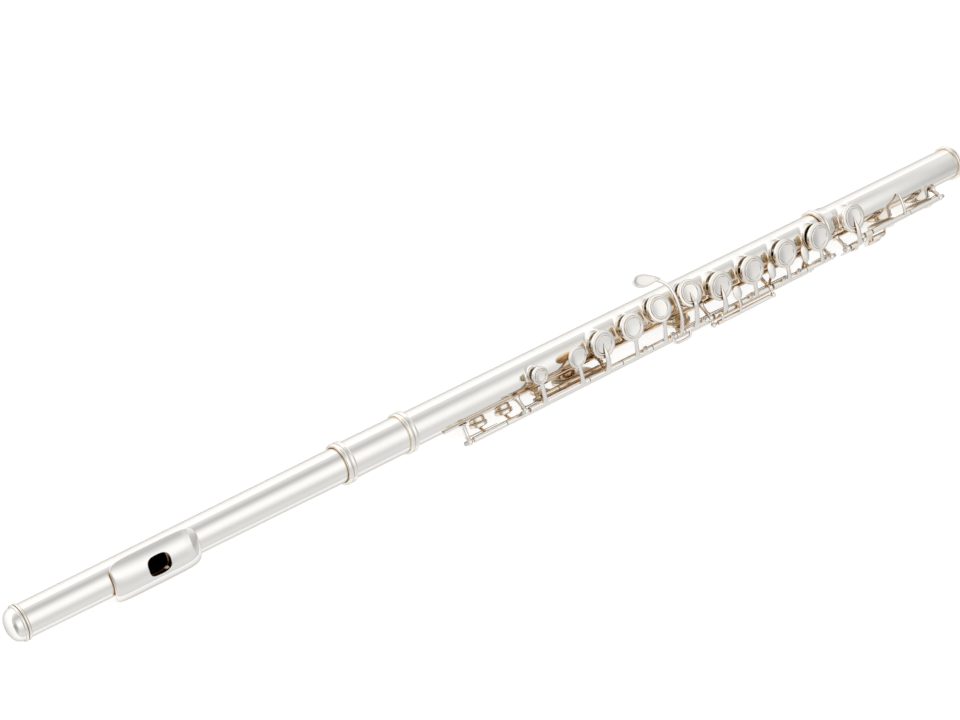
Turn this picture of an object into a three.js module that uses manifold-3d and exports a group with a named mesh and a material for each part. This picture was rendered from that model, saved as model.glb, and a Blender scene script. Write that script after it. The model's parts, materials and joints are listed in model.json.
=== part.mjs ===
// Concert flute: closed-hole Boehm system with an offset G and a C foot, in its three joints.
// Millimetres. X runs from the crown to the foot end, +Z points up over the key cups, and
// -Y is the side that the key rods run along. The pieces are drawn with the origin at the
// middle of the embouchure hole, on the bore axis; the last step moves the finished flute so
// that the origin lies under its middle, on the surface that it rests on.
import * as THREE from 'three';
import { mergeVertices } from 'three/addons/utils/BufferGeometryUtils.js';
import Module from 'manifold-3d';

const wasm = await Module();
wasm.setup();

// ---- driving dimensions -------------------------------------------------------------------

const GAP = 0.3;
const TUBE_SIDES = 20;
const CUP_SIDES = 14;
const ROD_SIDES = 8;
const WIRE_SIDES = 5;

// Stations along X.
const CROWN_TIP = -80;
const HEAD_START = -71;
const CORK_FACE = -17.3;
const CORK_LENGTH = 15;
const CORK_RADIUS = 8.25;
const BARREL = { start: 117.5, end: 163.7, bore: 10.15, radius: 10.55, ring: 11.9, ringLength: 5.4 };
const HEAD_END = 152;
const BODY_START = 156;
const BARREL_SEAT = 154;
const TENON_START = 475.4;
const TENON_END = 486.5;
const FOOT_START = 475.8;
const SOCKET_RING = 4.5;
const SOCKET_END = 487;
const FOOT_END = 601;
const END_RING = 3.4;

// Tube radii.
const HEAD_RADIUS = { crown: 8.9, barrel: 9.85, wall: 0.4 };
const BODY_RADIUS = 9.95;
const BORE_RADIUS = 9.5;
const TENON_RADIUS = 9.6;
const TENON_BORE = 9.15;
const SOCKET_BORE = 9.9;
const SOCKET_RADIUS = 10.6;
const END_RING_RADIUS = 11.9;

// Embouchure.
const BLOW_TILT = 5.6;
const BLOW_HOLE = { length: 12.8, width: 10.8, corner: 4.2 };
const LIP_PLATE = { halfWidth: 14.2, height: 15, drop: -1.4, thickness: 0.9 };
const LIP_OUTLINE = { length: 50.5, width: 23.6, corner: 4.5, farCorner: 7.5 };
const LIP_SHIFT = { x: -0.2, y: -1.2 };
const LIP_EDGE = 4.2;
const RISER_WALL = 1.3;
const ABOVE_ALL = 20;

// Tone holes: station, angle round the tube from the top towards -Y, and size class.
const SIZES = {
  small: { hole: 3.9, cup: 5.2 },
  thumb: { hole: 6.2, cup: 7.8 },
  gsharp: { hole: 6.4, cup: 8.0 },
  left: { hole: 6.5, cup: 8.25 },
  right: { hole: 7.3, cup: 8.8 },
  foot: { hole: 7.4, cup: 8.8 },
};
const HOLES = {
  d_sharp_trill: { x: 207, angle: 85, size: 'small' },
  d_trill: { x: 225, angle: 85, size: 'small' },
  c: { x: 245, angle: 0, size: 'small' },
  thumb_b: { x: 273, angle: 104, size: 'thumb' },
  b_flat: { x: 291.5, angle: 0, size: 'left' },
  a: { x: 314, angle: -6, size: 'left' },
  g_upper: { x: 336, angle: -17, size: 'left' },
  g_lower: { x: 360, angle: -17, size: 'left' },
  g_sharp: { x: 360, angle: 102, size: 'gsharp' },
  f_sharp: { x: 383, angle: 0, size: 'right' },
  f: { x: 409, angle: 0, size: 'right' },
  e: { x: 436.5, angle: 0, size: 'right' },
  d: { x: 464.8, angle: 0, size: 'right' },
  foot_d_sharp: { x: 497.3, angle: 0, size: 'foot' },
  foot_c_sharp: { x: 531, angle: 90, size: 'foot' },
  foot_c: { x: 566, angle: 90, size: 'foot' },
};
const CHIMNEY_TOP = 12.5;
const CHIMNEY_WALL = 0.45;
const CUP_WALL = 0.5;
const PAD_THICKNESS = 1.6;

// Rod lines (y, z) and the radii of what turns on them.
const MAIN = [-16.65, 12.5];
const TRILL = [-19.0, 8.4];
const THUMB = [-15.3, 5.9];
const SIDE = [-21.2, 13.4];
const LOW = [-14.5, 11.5];
const TUBE_RADIUS = 1.8;
const TUBE_HOLE = 1.3;
const STEEL_RADIUS = 1.0;
const POST_BALL = 2.0;
const POST_STEM = 1.1;
const RIB = { inner: 10.25, outer: 11.1, width: 2.2 };

// How far each sprung-open key stands from its seat, in degrees about its own rod.
const OPEN_MAIN = 7.5;
const OPEN_THUMB = -10;
const OPEN_LOW = -10;

// ---- shapes -------------------------------------------------------------------------------

const radians = THREE.MathUtils.degToRad;

// A closed geometry as a solid that can be joined and cut, always facing out.
function solidOf(geometry) {
  const bare = geometry.index ? geometry.toNonIndexed() : geometry.clone();
  bare.deleteAttribute('normal');
  bare.deleteAttribute('uv');
  const merged = mergeVertices(bare, 1e-4);
  const corners = merged.index.array;
  const triangles = [];
  for (let i = 0; i < corners.length; i += 3) {
    const [a, b, c] = [corners[i], corners[i + 1], corners[i + 2]];
    if (a !== b && b !== c && c !== a) triangles.push(a, b, c);
  }
  const build = (indices) => new wasm.Manifold(new wasm.Mesh({
    numProp: 3,
    vertProperties: merged.attributes.position.array,
    triVerts: new Uint32Array(indices),
  }));
  const solid = build(triangles);
  return solid.volume() < 0 ? build(triangles.reverse()) : solid;
}

const join = (...geometries) => geometries.map(solidOf).reduce((whole, next) => whole.add(next));
const cut = (solid, ...geometries) => geometries.map(solidOf).reduce((whole, next) => whole.subtract(next), solid);

// A profile of [x, radius] points turned about the flute's axis.
function turned(profile, sides = TUBE_SIDES) {
  const points = profile.map(([x, radius]) => new THREE.Vector2(radius, x));
  return new THREE.LatheGeometry(points, sides).rotateZ(-Math.PI / 2);
}

// A profile of [radius, z] points turned about +Z, then swung round the tube to its station.
function standing(profile, { x, angle }, sides = CUP_SIDES) {
  const points = profile.map(([radius, z]) => new THREE.Vector2(radius, z));
  const geometry = new THREE.LatheGeometry(points, sides).rotateX(Math.PI / 2);
  return geometry.rotateX(radians(angle)).translate(x, 0, 0);
}

// A round bar along X on a rod line.
function bar(from, to, radius, [y, z] = [0, 0], sides = ROD_SIDES) {
  const geometry = new THREE.CylinderGeometry(radius, radius, to - from, sides);
  return geometry.rotateZ(Math.PI / 2).translate((from + to) / 2, y, z);
}

// A round wire through points.
function wire(points, radius, steps = 8, sides = WIRE_SIDES) {
  const path = new THREE.CatmullRomCurve3(points.map((point) => new THREE.Vector3(...point)));
  const section = new THREE.Shape();
  for (let side = 0; side < sides; side += 1) {
    const turn = (side / sides) * Math.PI * 2;
    const corner = [Math.cos(turn) * radius, Math.sin(turn) * radius];
    if (side === 0) section.moveTo(...corner);
    else section.lineTo(...corner);
  }
  return new THREE.ExtrudeGeometry(section, { steps, extrudePath: path, bevelEnabled: false });
}

// A flat outline of (y, z) points, as wide as given, across a station on X.
function slab(outline, x, width) {
  const shape = new THREE.Shape(outline.map(([y, z]) => new THREE.Vector2(y, z)));
  const geometry = new THREE.ExtrudeGeometry(shape, { depth: width, bevelEnabled: false });
  const yzToWorld = new THREE.Matrix4().makeBasis(
    new THREE.Vector3(0, 1, 0),
    new THREE.Vector3(0, 0, 1),
    new THREE.Vector3(1, 0, 0),
  );
  return geometry.applyMatrix4(yzToWorld).translate(x - width / 2, 0, 0);
}

// A rounded rectangle, long in X, extruded in Z; the corners on the far side may differ.
function roundedBlock({ length, width, corner, farCorner = corner }, from, to, segments = 4) {
  const [a, b] = [length / 2, width / 2];
  const quarter = Math.PI / 2;
  const shape = new THREE.Shape();
  shape.moveTo(-a + corner, -b);
  shape.lineTo(a - corner, -b);
  shape.absarc(a - corner, -b + corner, corner, -quarter, 0, false);
  shape.absarc(a - farCorner, b - farCorner, farCorner, 0, quarter, false);
  shape.absarc(-a + farCorner, b - farCorner, farCorner, quarter, 2 * quarter, false);
  shape.absarc(-a + corner, -b + corner, corner, 2 * quarter, 3 * quarter, false);
  const options = { depth: to - from, bevelEnabled: false, curveSegments: segments };
  return new THREE.ExtrudeGeometry(shape, options).translate(0, 0, from);
}

// A hole's outline grown outwards by a wall.
const grown = ({ length, width, corner }, wall) => (
  { length: length + 2 * wall, width: width + 2 * wall, corner: corner + wall }
);

// A flattened egg for a finger to press: half sizes along X, Y and Z, and its middle.
function touch(halves, [x, y, z], tilt = 0) {
  const egg = new THREE.SphereGeometry(1, 10, 5).rotateX(Math.PI / 2).scale(...halves);
  return egg.rotateX(radians(tilt)).translate(x, y, z);
}

// A (y, z) point swung about the flute's axis by a hole's angle.
function swung([y, z], angle) {
  const [sin, cos] = [Math.sin(radians(angle)), Math.cos(radians(angle))];
  return [y * cos - z * sin, y * sin + z * cos];
}

// ---- scene helpers ------------------------------------------------------------------------

const paint = (color, roughness, metalness) => ({ color, roughness, metalness });
const SILVER = paint(0xe9e7e2, 0.16, 1);
const STEEL = paint(0x9fa3a8, 0.3, 1);
const SKIN = paint(0xe4d2ad, 0.7, 0);
const CORK = paint(0xc39a6b, 0.9, 0);

const flute = new THREE.Group();

// A solid as a named mesh, hung in the given group.
function addPiece(name, solid, finish, parent = flute) {
  const made = solid.getMesh();
  const positions = new Float32Array(made.numVert * 3);
  for (let i = 0; i < made.numVert; i += 1) {
    const start = i * made.numProp;
    positions.set(made.vertProperties.subarray(start, start + 3), i * 3);
  }
  const geometry = new THREE.BufferGeometry();
  geometry.setAttribute('position', new THREE.BufferAttribute(positions, 3));
  geometry.setIndex(new THREE.BufferAttribute(made.triVerts, 1));
  geometry.computeVertexNormals();
  const mesh = new THREE.Mesh(geometry, new THREE.MeshStandardMaterial(finish));
  mesh.name = name;
  parent.add(mesh);
}

// A group that turns its pieces about a rod line.
function pivot([y, z], degrees) {
  const outer = new THREE.Group();
  outer.position.set(0, y, z);
  outer.rotation.x = radians(degrees);
  const inner = new THREE.Group();
  inner.position.set(0, -y, -z);
  outer.add(inner);
  flute.add(outer);
  return inner;
}

// ---- tubes --------------------------------------------------------------------------------

function headTube() {
  const { crown, barrel, wall } = HEAD_RADIUS;
  const taperEnd = BARREL.start - 6;
  const shell = join(turned([
    [HEAD_START, crown - wall],
    [HEAD_START, crown],
    [taperEnd, barrel],
    [HEAD_END, barrel],
    [HEAD_END, barrel - wall],
    [taperEnd, barrel - wall],
    [HEAD_START, crown - wall],
  ]));
  return cut(shell, roundedBlock(BLOW_HOLE, 0, ABOVE_ALL).rotateX(radians(BLOW_TILT)));
}

// The radius that the riser stands on, clear of the tapering head under it.
const RISER_SEAT = HEAD_RADIUS.crown + 0.5 + GAP;

const lipArch = (inset, length, sides = 32) => {
  const arch = new THREE.CylinderGeometry(1, 1, length, sides).rotateZ(Math.PI / 2);
  arch.scale(1, LIP_PLATE.halfWidth - inset, LIP_PLATE.height - inset);
  return arch.translate(0, 0, LIP_PLATE.drop);
};

function lipPlate() {
  const { length } = LIP_OUTLINE;
  const shell = cut(join(lipArch(0, length + 4)), lipArch(LIP_PLATE.thickness, length + 6));
  const outline = roundedBlock(LIP_OUTLINE, LIP_EDGE, ABOVE_ALL, 5).translate(LIP_SHIFT.x, LIP_SHIFT.y, 0);
  return cut(shell.intersect(solidOf(outline)), roundedBlock(BLOW_HOLE, 0, ABOVE_ALL));
}

function riser() {
  const block = solidOf(roundedBlock(grown(BLOW_HOLE, RISER_WALL), LIP_EDGE, ABOVE_ALL));
  const under = solidOf(lipArch(LIP_PLATE.thickness + GAP, LIP_OUTLINE.length));
  const tube = bar(-LIP_OUTLINE.length / 2, LIP_OUTLINE.length / 2, RISER_SEAT, [0, 0], TUBE_SIDES);
  return cut(block.intersect(under), roundedBlock(BLOW_HOLE, 0, ABOVE_ALL), tube);
}

// A bead ring's profile points, from the low end to the high one.
const beads = (start, end, base, top) => {
  const bevel = 0.7;
  return [
    [start, base],
    [start, top - bevel],
    [start + bevel, top],
    [end - bevel, top],
    [end, top - bevel],
    [end, base],
  ];
};

function crownCap() {
  const { crown, wall } = HEAD_RADIUS;
  const rim = HEAD_START - GAP;
  const plug = crown - wall - GAP;
  return join(turned([
    [CROWN_TIP, 0],
    [CROWN_TIP + 0.6, 4.2],
    [CROWN_TIP + 2.4, 7.6],
    [CROWN_TIP + 4, 8.9],
    ...beads(CROWN_TIP + 4, rim, 8.9, 9.9),
    [rim, plug],
    [rim + 6, plug],
    [rim + 6, 2.4],
    [rim + 1, 2.4],
    [rim + 1, 0],
  ]));
}

const STOPPER_SCREW = 1.6;

function corkStopper() {
  const start = CORK_FACE - CORK_LENGTH;
  const plug = join(bar(start, CORK_FACE, CORK_RADIUS, [0, 0], TUBE_SIDES));
  return cut(plug, bar(start - 1, CORK_FACE - 3, STOPPER_SCREW + GAP));
}

function barrelSleeve() {
  const { start, end, bore, radius, ring, ringLength } = BARREL;
  return join(turned([
    [start, bore],
    ...beads(start, start + ringLength, radius, ring),
    ...beads(end - ringLength, end, radius, ring),
    [end, bore + 0.1],
    [BARREL_SEAT, bore + 0.1],
    [BARREL_SEAT, bore],
    [start, bore],
  ]));
}

const bodyHoles = Object.entries(HOLES).filter(([name]) => !name.startsWith('foot_'));
const footHoles = Object.entries(HOLES).filter(([name]) => name.startsWith('foot_'));

// Raises a chimney round each tone hole of a solid tube, then bores the tube and the holes.
function boredTube(outside, inside, holes) {
  const chimneys = holes.map(([, hole]) => {
    const radius = SIZES[hole.size].hole + CHIMNEY_WALL;
    return standing([[0, 2], [radius, 2], [radius, CHIMNEY_TOP], [0, CHIMNEY_TOP]], hole);
  });
  const bores = holes.map(([, hole]) => {
    const radius = SIZES[hole.size].hole;
    return standing([[0, 1], [radius, 1], [radius, CHIMNEY_TOP + 2], [0, CHIMNEY_TOP + 2]], hole);
  });
  return cut(join(turned(outside), ...chimneys), turned(inside), ...bores);
}

const bodyTube = () => boredTube(
  [[BODY_START, 0], [BODY_START, BODY_RADIUS], [TENON_START, BODY_RADIUS], [TENON_START, TENON_RADIUS],
    [TENON_END, TENON_RADIUS], [TENON_END, 0]],
  [[BODY_START - 1, 0], [BODY_START - 1, BORE_RADIUS], [TENON_START - 2, BORE_RADIUS],
    [TENON_START, TENON_BORE], [TENON_END + 1, TENON_BORE], [TENON_END + 1, 0]],
  bodyHoles,
);

const footTube = () => boredTube(
  [[FOOT_START, 0], ...beads(FOOT_START, FOOT_START + SOCKET_RING, SOCKET_RADIUS, END_RING_RADIUS),
    [SOCKET_END, SOCKET_RADIUS], [SOCKET_END, BODY_RADIUS], [FOOT_END - END_RING, BODY_RADIUS],
    ...beads(FOOT_END - END_RING, FOOT_END, BODY_RADIUS, END_RING_RADIUS - 0.5).slice(1, -1), [FOOT_END, 0]],
  [[FOOT_START - 1, 0], [FOOT_START - 1, SOCKET_BORE], [SOCKET_END, SOCKET_BORE],
    [SOCKET_END, BORE_RADIUS], [FOOT_END + 1, BORE_RADIUS], [FOOT_END + 1, 0]],
  footHoles,
);

addPiece('head_tube', headTube(), SILVER);
const embouchure = pivot([0, 0], BLOW_TILT);
addPiece('lip_plate', lipPlate(), SILVER, embouchure);
addPiece('embouchure_riser', riser(), SILVER, embouchure);
addPiece('crown', crownCap(), SILVER);
addPiece('cork_stopper', corkStopper(), CORK);
addPiece('stopper_screw', join(bar(HEAD_START + 2, CORK_FACE - 3 - GAP, STOPPER_SCREW)), STEEL);
addPiece('barrel', barrelSleeve(), SILVER);
addPiece('body_tube', bodyTube(), SILVER);
addPiece('foot_tube', footTube(), SILVER);

// ---- ribs, posts and steels ---------------------------------------------------------------

const onCircle = (angle, reach) => [-Math.sin(radians(angle)) * reach, Math.cos(radians(angle)) * reach];

function rib(from, to, angle) {
  const strap = new THREE.BoxGeometry(to - from, RIB.width, RIB.outer - RIB.inner);
  strap.translate((from + to) / 2, 0, (RIB.inner + RIB.outer) / 2);
  return strap.rotateX(radians(angle));
}

// A post: a stem from the foot angle on the rib up to a ball on the rod line.
function post(x, line, footAngle, footReach = RIB.inner + 0.4) {
  const stem = wire([[x, ...onCircle(footAngle, footReach)], [x, ...line]], POST_STEM, 1, 6);
  const ball = new THREE.SphereGeometry(POST_BALL, 8, 6).translate(x, ...line);
  return [stem, ball];
}

// The hole for a steel through a post's ball.
const postHole = (x, line, radius = TUBE_HOLE) => bar(x - 3, x + 3, radius, line);

const UPPER_RIB = { from: 181, to: 375, angle: 51.5 };
const LOWER_RIB = { from: 377, to: 475, angle: 60 };
const FOOT_RIB = { from: 487.6, to: 505, angle: 62 };
const POSTS = { trillStart: 194, mainStart: 232, mainMiddle: 372.6, mainLow: 421.5, trillEnd: 457.7,
  mainEnd: 473.9, thumbStart: 246.4, thumbEnd: 294.6, footStart: 488.2, footMiddle: 502.9, footEnd: 574 };

// The side lever's short steel is carried outside the main line, on arms from two posts.
function sideArm(x) {
  const arm = wire([[x, ...MAIN], [x, ...SIDE]], POST_STEM, 1, 6);
  const ball = new THREE.SphereGeometry(1.7, 8, 5).translate(x, ...SIDE);
  return [arm, ball];
}
const SIDE_STEEL = 0.65;
const SIDE_HOLE = SIDE_STEEL + GAP;

function upperRib() {
  const { from, to, angle } = UPPER_RIB;
  const whole = join(
    rib(from, to, angle),
    ...post(POSTS.trillStart, TRILL, angle),
    ...post(POSTS.mainStart, MAIN, angle),
    ...post(POSTS.mainMiddle, MAIN, angle),
    ...sideArm(POSTS.mainMiddle),
  );
  return cut(
    whole,
    postHole(POSTS.trillStart, TRILL),
    postHole(POSTS.mainStart, MAIN),
    postHole(POSTS.mainMiddle, MAIN),
    postHole(POSTS.mainMiddle, SIDE, SIDE_HOLE),
  );
}

function lowerRib() {
  const { from, to, angle } = LOWER_RIB;
  const whole = join(
    rib(from, to, angle),
    ...post(POSTS.mainLow, MAIN, angle),
    ...sideArm(POSTS.mainLow),
    ...post(POSTS.trillEnd, TRILL, angle),
    ...post(POSTS.mainEnd, MAIN, angle),
  );
  return cut(
    whole,
    postHole(POSTS.mainLow, MAIN),
    postHole(POSTS.mainLow, SIDE, SIDE_HOLE),
    postHole(POSTS.trillEnd, TRILL),
    postHole(POSTS.mainEnd, MAIN),
  );
}

function footRib() {
  const { from, to, angle } = FOOT_RIB;
  const whole = join(
    rib(from, to, angle),
    ...post(POSTS.footStart, MAIN, angle),
    ...post(POSTS.footMiddle, MAIN, angle),
    ...post(POSTS.footMiddle, LOW, angle),
  );
  return cut(
    whole,
    postHole(POSTS.footStart, MAIN),
    postHole(POSTS.footMiddle, MAIN),
    postHole(POSTS.footMiddle, LOW),
  );
}

// A post that stands on the tube by itself, on a round foot.
function loosePost(x, line) {
  const angle = THREE.MathUtils.radToDeg(Math.atan2(-line[0], line[1]));
  const disc = standing([[0, RIB.inner], [1.4, RIB.inner], [1.4, RIB.outer], [0, RIB.outer]], { x, angle }, 8);
  return cut(join(disc, ...post(x, line, angle, RIB.outer - 0.4)), postHole(x, line));
}

addPiece('upper_rib', upperRib(), SILVER);
addPiece('lower_rib', lowerRib(), SILVER);
addPiece('foot_rib', footRib(), SILVER);
addPiece('thumb_post_upper', loosePost(POSTS.thumbStart, THUMB), SILVER);
addPiece('thumb_post_lower', loosePost(POSTS.thumbEnd, THUMB), SILVER);
addPiece('foot_end_post', loosePost(POSTS.footEnd, LOW), SILVER);

const steel = (from, to, line, radius = STEEL_RADIUS) => join(bar(from, to, radius, line, 8));
addPiece('left_hand_steel', steel(POSTS.mainStart - 1, POSTS.mainMiddle - GAP / 2, MAIN), STEEL);
addPiece('right_hand_steel', steel(POSTS.mainMiddle + GAP, POSTS.mainEnd + 1, MAIN), STEEL);
addPiece('thumb_steel', steel(POSTS.thumbStart - 1, POSTS.thumbEnd + 1, THUMB), STEEL);
addPiece('side_lever_steel', steel(POSTS.mainMiddle - 1, POSTS.mainLow + 1, SIDE, SIDE_STEEL), STEEL);
addPiece('foot_d_sharp_steel', steel(POSTS.footStart - 1, POSTS.footMiddle + 1, MAIN), STEEL);

// ---- keys ---------------------------------------------------------------------------------

const PAD_FACE = CHIMNEY_TOP + GAP;
const CUP_RIM = PAD_FACE + 0.6;
const CUP_FLOOR = PAD_FACE + PAD_THICKNESS + GAP;
const CUP_TOP = CUP_FLOOR + 1.2;

// A cup: a skirt round the pad, a raised bead round the top, and a dished middle.
function cupShape(hole) {
  const radius = SIZES[hole.size].cup;
  return standing([
    [0, CUP_FLOOR],
    [radius - CUP_WALL, CUP_FLOOR],
    [radius - CUP_WALL, CUP_RIM],
    [radius, CUP_RIM],
    [radius, CUP_TOP - 0.7],
    [radius * 0.8, CUP_TOP],
    [radius * 0.66, CUP_TOP - 0.6],
    [0, CUP_TOP - 0.75],
  ], hole);
}

function padShape(hole) {
  const radius = SIZES[hole.size].cup - CUP_WALL - GAP;
  const top = PAD_FACE + PAD_THICKNESS;
  return standing([[0, PAD_FACE], [radius, PAD_FACE], [radius, top], [0, top]], hole);
}

// An arm from the main line to a cup's side.
function sideArmToCup({ x, angle, size }) {
  const end = -SIZES[size].cup + GAP;
  return slab([
    [-17.9, 12.2],
    [-17.2, 14.4],
    [-12.5, 15.2],
    swung([end, 15.2], angle),
    swung([end, 13.5], angle),
    [-12.5, 13.3],
    [-15.2, 11.9],
  ], x, 4);
}

// An arm that runs on over the cup and ends in a point at its centre.
function pointedArm({ x, angle }) {
  const shoulder = swung([-7.5, 16.5], angle);
  const tip = swung([0.6, 15.7], angle);
  const profile = slab([
    [-17.9, 12.2],
    [-17.3, 14.5],
    [-13.2, 16.3],
    shoulder,
    tip,
    swung([0.6, 14.95], angle),
    swung([-7.8, 15.0], angle),
    [-12.3, 14.6],
    [-15.2, 11.9],
  ], x, 6);
  const [narrow, end] = [shoulder[0] + 1.5, tip[0] + 0.1];
  const plan = new THREE.Shape([[-2, -19], [2, -19], [1.6, narrow], [0.4, end], [-0.4, end], [-1.6, narrow]]
    .map((corner) => new THREE.Vector2(...corner)));
  const taper = new THREE.ExtrudeGeometry(plan, { depth: ABOVE_ALL, bevelEnabled: false }).translate(x, 0, 0);
  return solidOf(profile).intersect(solidOf(taper));
}

const tubeOn = (line, [from, to], radius = TUBE_RADIUS) => bar(from, to, radius, line);
const boreOn = (line, [from, to], radius = TUBE_HOLE) => bar(from - 1, to + 1, radius, line);

// One key of the main line: a cup with its arm and hinge tube, and its pad.
function mainKey({ name, hole, tube, pointed, open }) {
  const group = pivot(MAIN, open ? OPEN_MAIN : 0);
  const spot = HOLES[hole];
  const arm = pointed ? pointedArm(spot) : solidOf(sideArmToCup(spot));
  const whole = join(cupShape(spot), tubeOn(MAIN, tube)).add(arm);
  addPiece(name, cut(whole, boreOn(MAIN, tube)), SILVER, group);
  addPiece(`${hole}_pad`, join(padShape(spot)), SKIN, group);
}

const MAIN_KEYS = [
  { name: 'b_flat_key', hole: 'b_flat', tube: [278, 302.7], pointed: true, open: true },
  { name: 'a_key', hole: 'a', tube: [303, 325.7], pointed: false, open: true },
  { name: 'f_sharp_key', hole: 'f_sharp', tube: [375, 396.7], pointed: true, open: true },
  { name: 'f_key', hole: 'f', tube: [397, 419.2], pointed: false, open: true },
  { name: 'e_key', hole: 'e', tube: [423.8, 451.7], pointed: false, open: true },
  { name: 'd_key', hole: 'd', tube: [452, 471.6], pointed: false, open: true },
];
MAIN_KEYS.forEach(mainKey);

// The C key: a small cup, and a separate dished touch further down its hinge tube.
function cKey() {
  const group = pivot(MAIN, OPEN_MAIN);
  const tube = [234.5, 277.7];
  const touchSpot = { x: 272.5, angle: 0 };
  const plate = standing([
    [0, 13.9],
    [6.4, 13.9],
    [6.4, 15.2],
    [5.4, 15.5],
    [4.4, 14.9],
    [0, 14.8],
  ], touchSpot);
  const whole = join(
    cupShape(HOLES.c),
    sideArmToCup(HOLES.c),
    plate,
    sideArmToCup({ ...touchSpot, size: 'small' }),
    tubeOn(MAIN, tube),
  );
  addPiece('c_key', cut(whole, boreOn(MAIN, tube)), SILVER, group);
  addPiece('c_pad', join(padShape(HOLES.c)), SKIN, group);
}
cKey();

// The G key: two cups on two hinge tubes, joined by a bridge outside the G sharp hinge.
function gKey() {
  const group = pivot(MAIN, OPEN_MAIN);
  const [upper, lower] = [[326, 344.7], [351.6, 370.3]];
  const bridge = wire([
    [341.5, -17.2, 13.6],
    [342.2, -19.6, 14.4],
    [344.5, -20.6, 14.4],
    [351.5, -20.6, 14.4],
    [354.0, -19.6, 14.4],
    [354.8, -17.2, 13.6],
  ], 0.9, 9);
  const whole = join(
    cupShape(HOLES.g_upper),
    sideArmToCup(HOLES.g_upper),
    tubeOn(MAIN, upper),
    bridge,
    tubeOn(MAIN, lower),
    cupShape(HOLES.g_lower),
  ).add(pointedArm(HOLES.g_lower));
  addPiece('g_key', cut(whole, boreOn(MAIN, upper), boreOn(MAIN, lower)), SILVER, group);
  addPiece('g_upper_pad', join(padShape(HOLES.g_upper)), SKIN, group);
  addPiece('g_lower_pad', join(padShape(HOLES.g_lower)), SKIN, group);
}
gKey();

// The G sharp key: a spoon on the far side, an arm over the tube, and a cup on the near side.
function gSharpKey() {
  const tube = [345, 351.3];
  const spoonArm = wire([
    [348, -16.6, 13.4],
    [348.5, -13.5, 15.6],
    [349.4, -6, 17.2],
    [349.4, 4, 17.0],
    [348.4, 12, 15.4],
    [344.6, 16.8, 14.1],
    [340.5, 19.6, 13.4],
  ], 0.95, 8);
  const cupArm = wire([
    [348, -16.2, 11.8],
    [349.5, -14.4, 8.6],
    [352.0, -15.6, 6.2],
    [355.5, -16.6, 3.0],
    [360, -15.7, -3.4],
  ], 0.95, 6);
  const spoon = new THREE.SphereGeometry(1, 12, 5).rotateX(Math.PI / 2).scale(9.2, 4.6, 0.8);
  spoon.rotateX(radians(-8)).rotateZ(radians(-14)).translate(335.4, 21.2, 13.2);
  const whole = join(tubeOn(MAIN, tube), spoonArm, spoon, cupArm, cupShape(HOLES.g_sharp));
  addPiece('g_sharp_key', cut(whole, boreOn(MAIN, tube)), SILVER);
  addPiece('g_sharp_pad', join(padShape(HOLES.g_sharp)), SKIN);
}
gSharpKey();

// The arm from the trill line down over the outside of a trill cup.
const trillCupArm = ({ x }) => wire([
  [x, -19.2, 7.4],
  [x, -18.0, 4.6],
  [x, -16.5, 1.6],
  [x, -15.9, -0.6],
], 0.95, 4);

// The arm from the trill line, under the main line, up to a touch between two cups.
const trillTouchArm = (x) => wire([
  [x, -18.6, 8.2],
  [x, -14.6, 9.0],
  [x, -11.4, 11.4],
  [x, -7.8, 14.0],
], 0.95, 4);

const trillTouch = (x) => touch([3.6, 5.4, 0.75], [x, -6.8, 14.8]);

const TRILL_TUBE = 1.7;
const D_TRILL_TUBE = [220, 428];

// The D trill key turns freely on the long steel of the D sharp trill key.
function trillKeys() {
  const dTrill = join(
    tubeOn(TRILL, D_TRILL_TUBE, TRILL_TUBE),
    cupShape(HOLES.d_trill),
    trillCupArm(HOLES.d_trill),
    trillTouchArm(425),
    trillTouch(424.6),
  );
  addPiece('d_trill_key', cut(dTrill, boreOn(TRILL, D_TRILL_TUBE)), SILVER);
  addPiece('d_trill_pad', join(padShape(HOLES.d_trill)), SKIN);
  const dSharpTrill = join(
    bar(POSTS.trillStart - 1, POSTS.trillEnd + 1, STEEL_RADIUS, TRILL),
    tubeOn(TRILL, [196.6, D_TRILL_TUBE[0] - GAP], TRILL_TUBE),
    tubeOn(TRILL, [D_TRILL_TUBE[1] + GAP, POSTS.trillEnd - POST_BALL - GAP], TRILL_TUBE),
    cupShape(HOLES.d_sharp_trill),
    trillCupArm(HOLES.d_sharp_trill),
    trillTouchArm(453.2),
    trillTouch(452.8),
  );
  addPiece('d_sharp_trill_key', dSharpTrill, SILVER);
  addPiece('d_sharp_trill_pad', join(padShape(HOLES.d_sharp_trill)), SKIN);
}
trillKeys();

// The two thumb keys: plates that hang from the thumb line, one of them with the B cup.
function thumbPlate(from, to) {
  const plate = roundedBlock({ length: to - from, width: 15.5, corner: 3.5 }, 14.0, 15.1, 3);
  return plate.translate((from + to) / 2, 1.2, 0).rotateX(radians(HOLES.thumb_b.angle));
}

function thumbKeys() {
  const thumbGroup = pivot(THUMB, OPEN_THUMB);
  const bTube = [261, 292.3];
  const b = join(tubeOn(THUMB, bTube), cupShape(HOLES.thumb_b), thumbPlate(280.4, 292));
  addPiece('thumb_b_key', cut(b, boreOn(THUMB, bTube)), SILVER, thumbGroup);
  addPiece('thumb_b_pad', join(padShape(HOLES.thumb_b)), SKIN, thumbGroup);
  const flatTube = [248.7, 260.7];
  const flat = join(tubeOn(THUMB, flatTube), thumbPlate(250, 260.5));
  addPiece('thumb_b_flat_lever', cut(flat, boreOn(THUMB, flatTube)), SILVER, thumbGroup);
}
thumbKeys();

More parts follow.
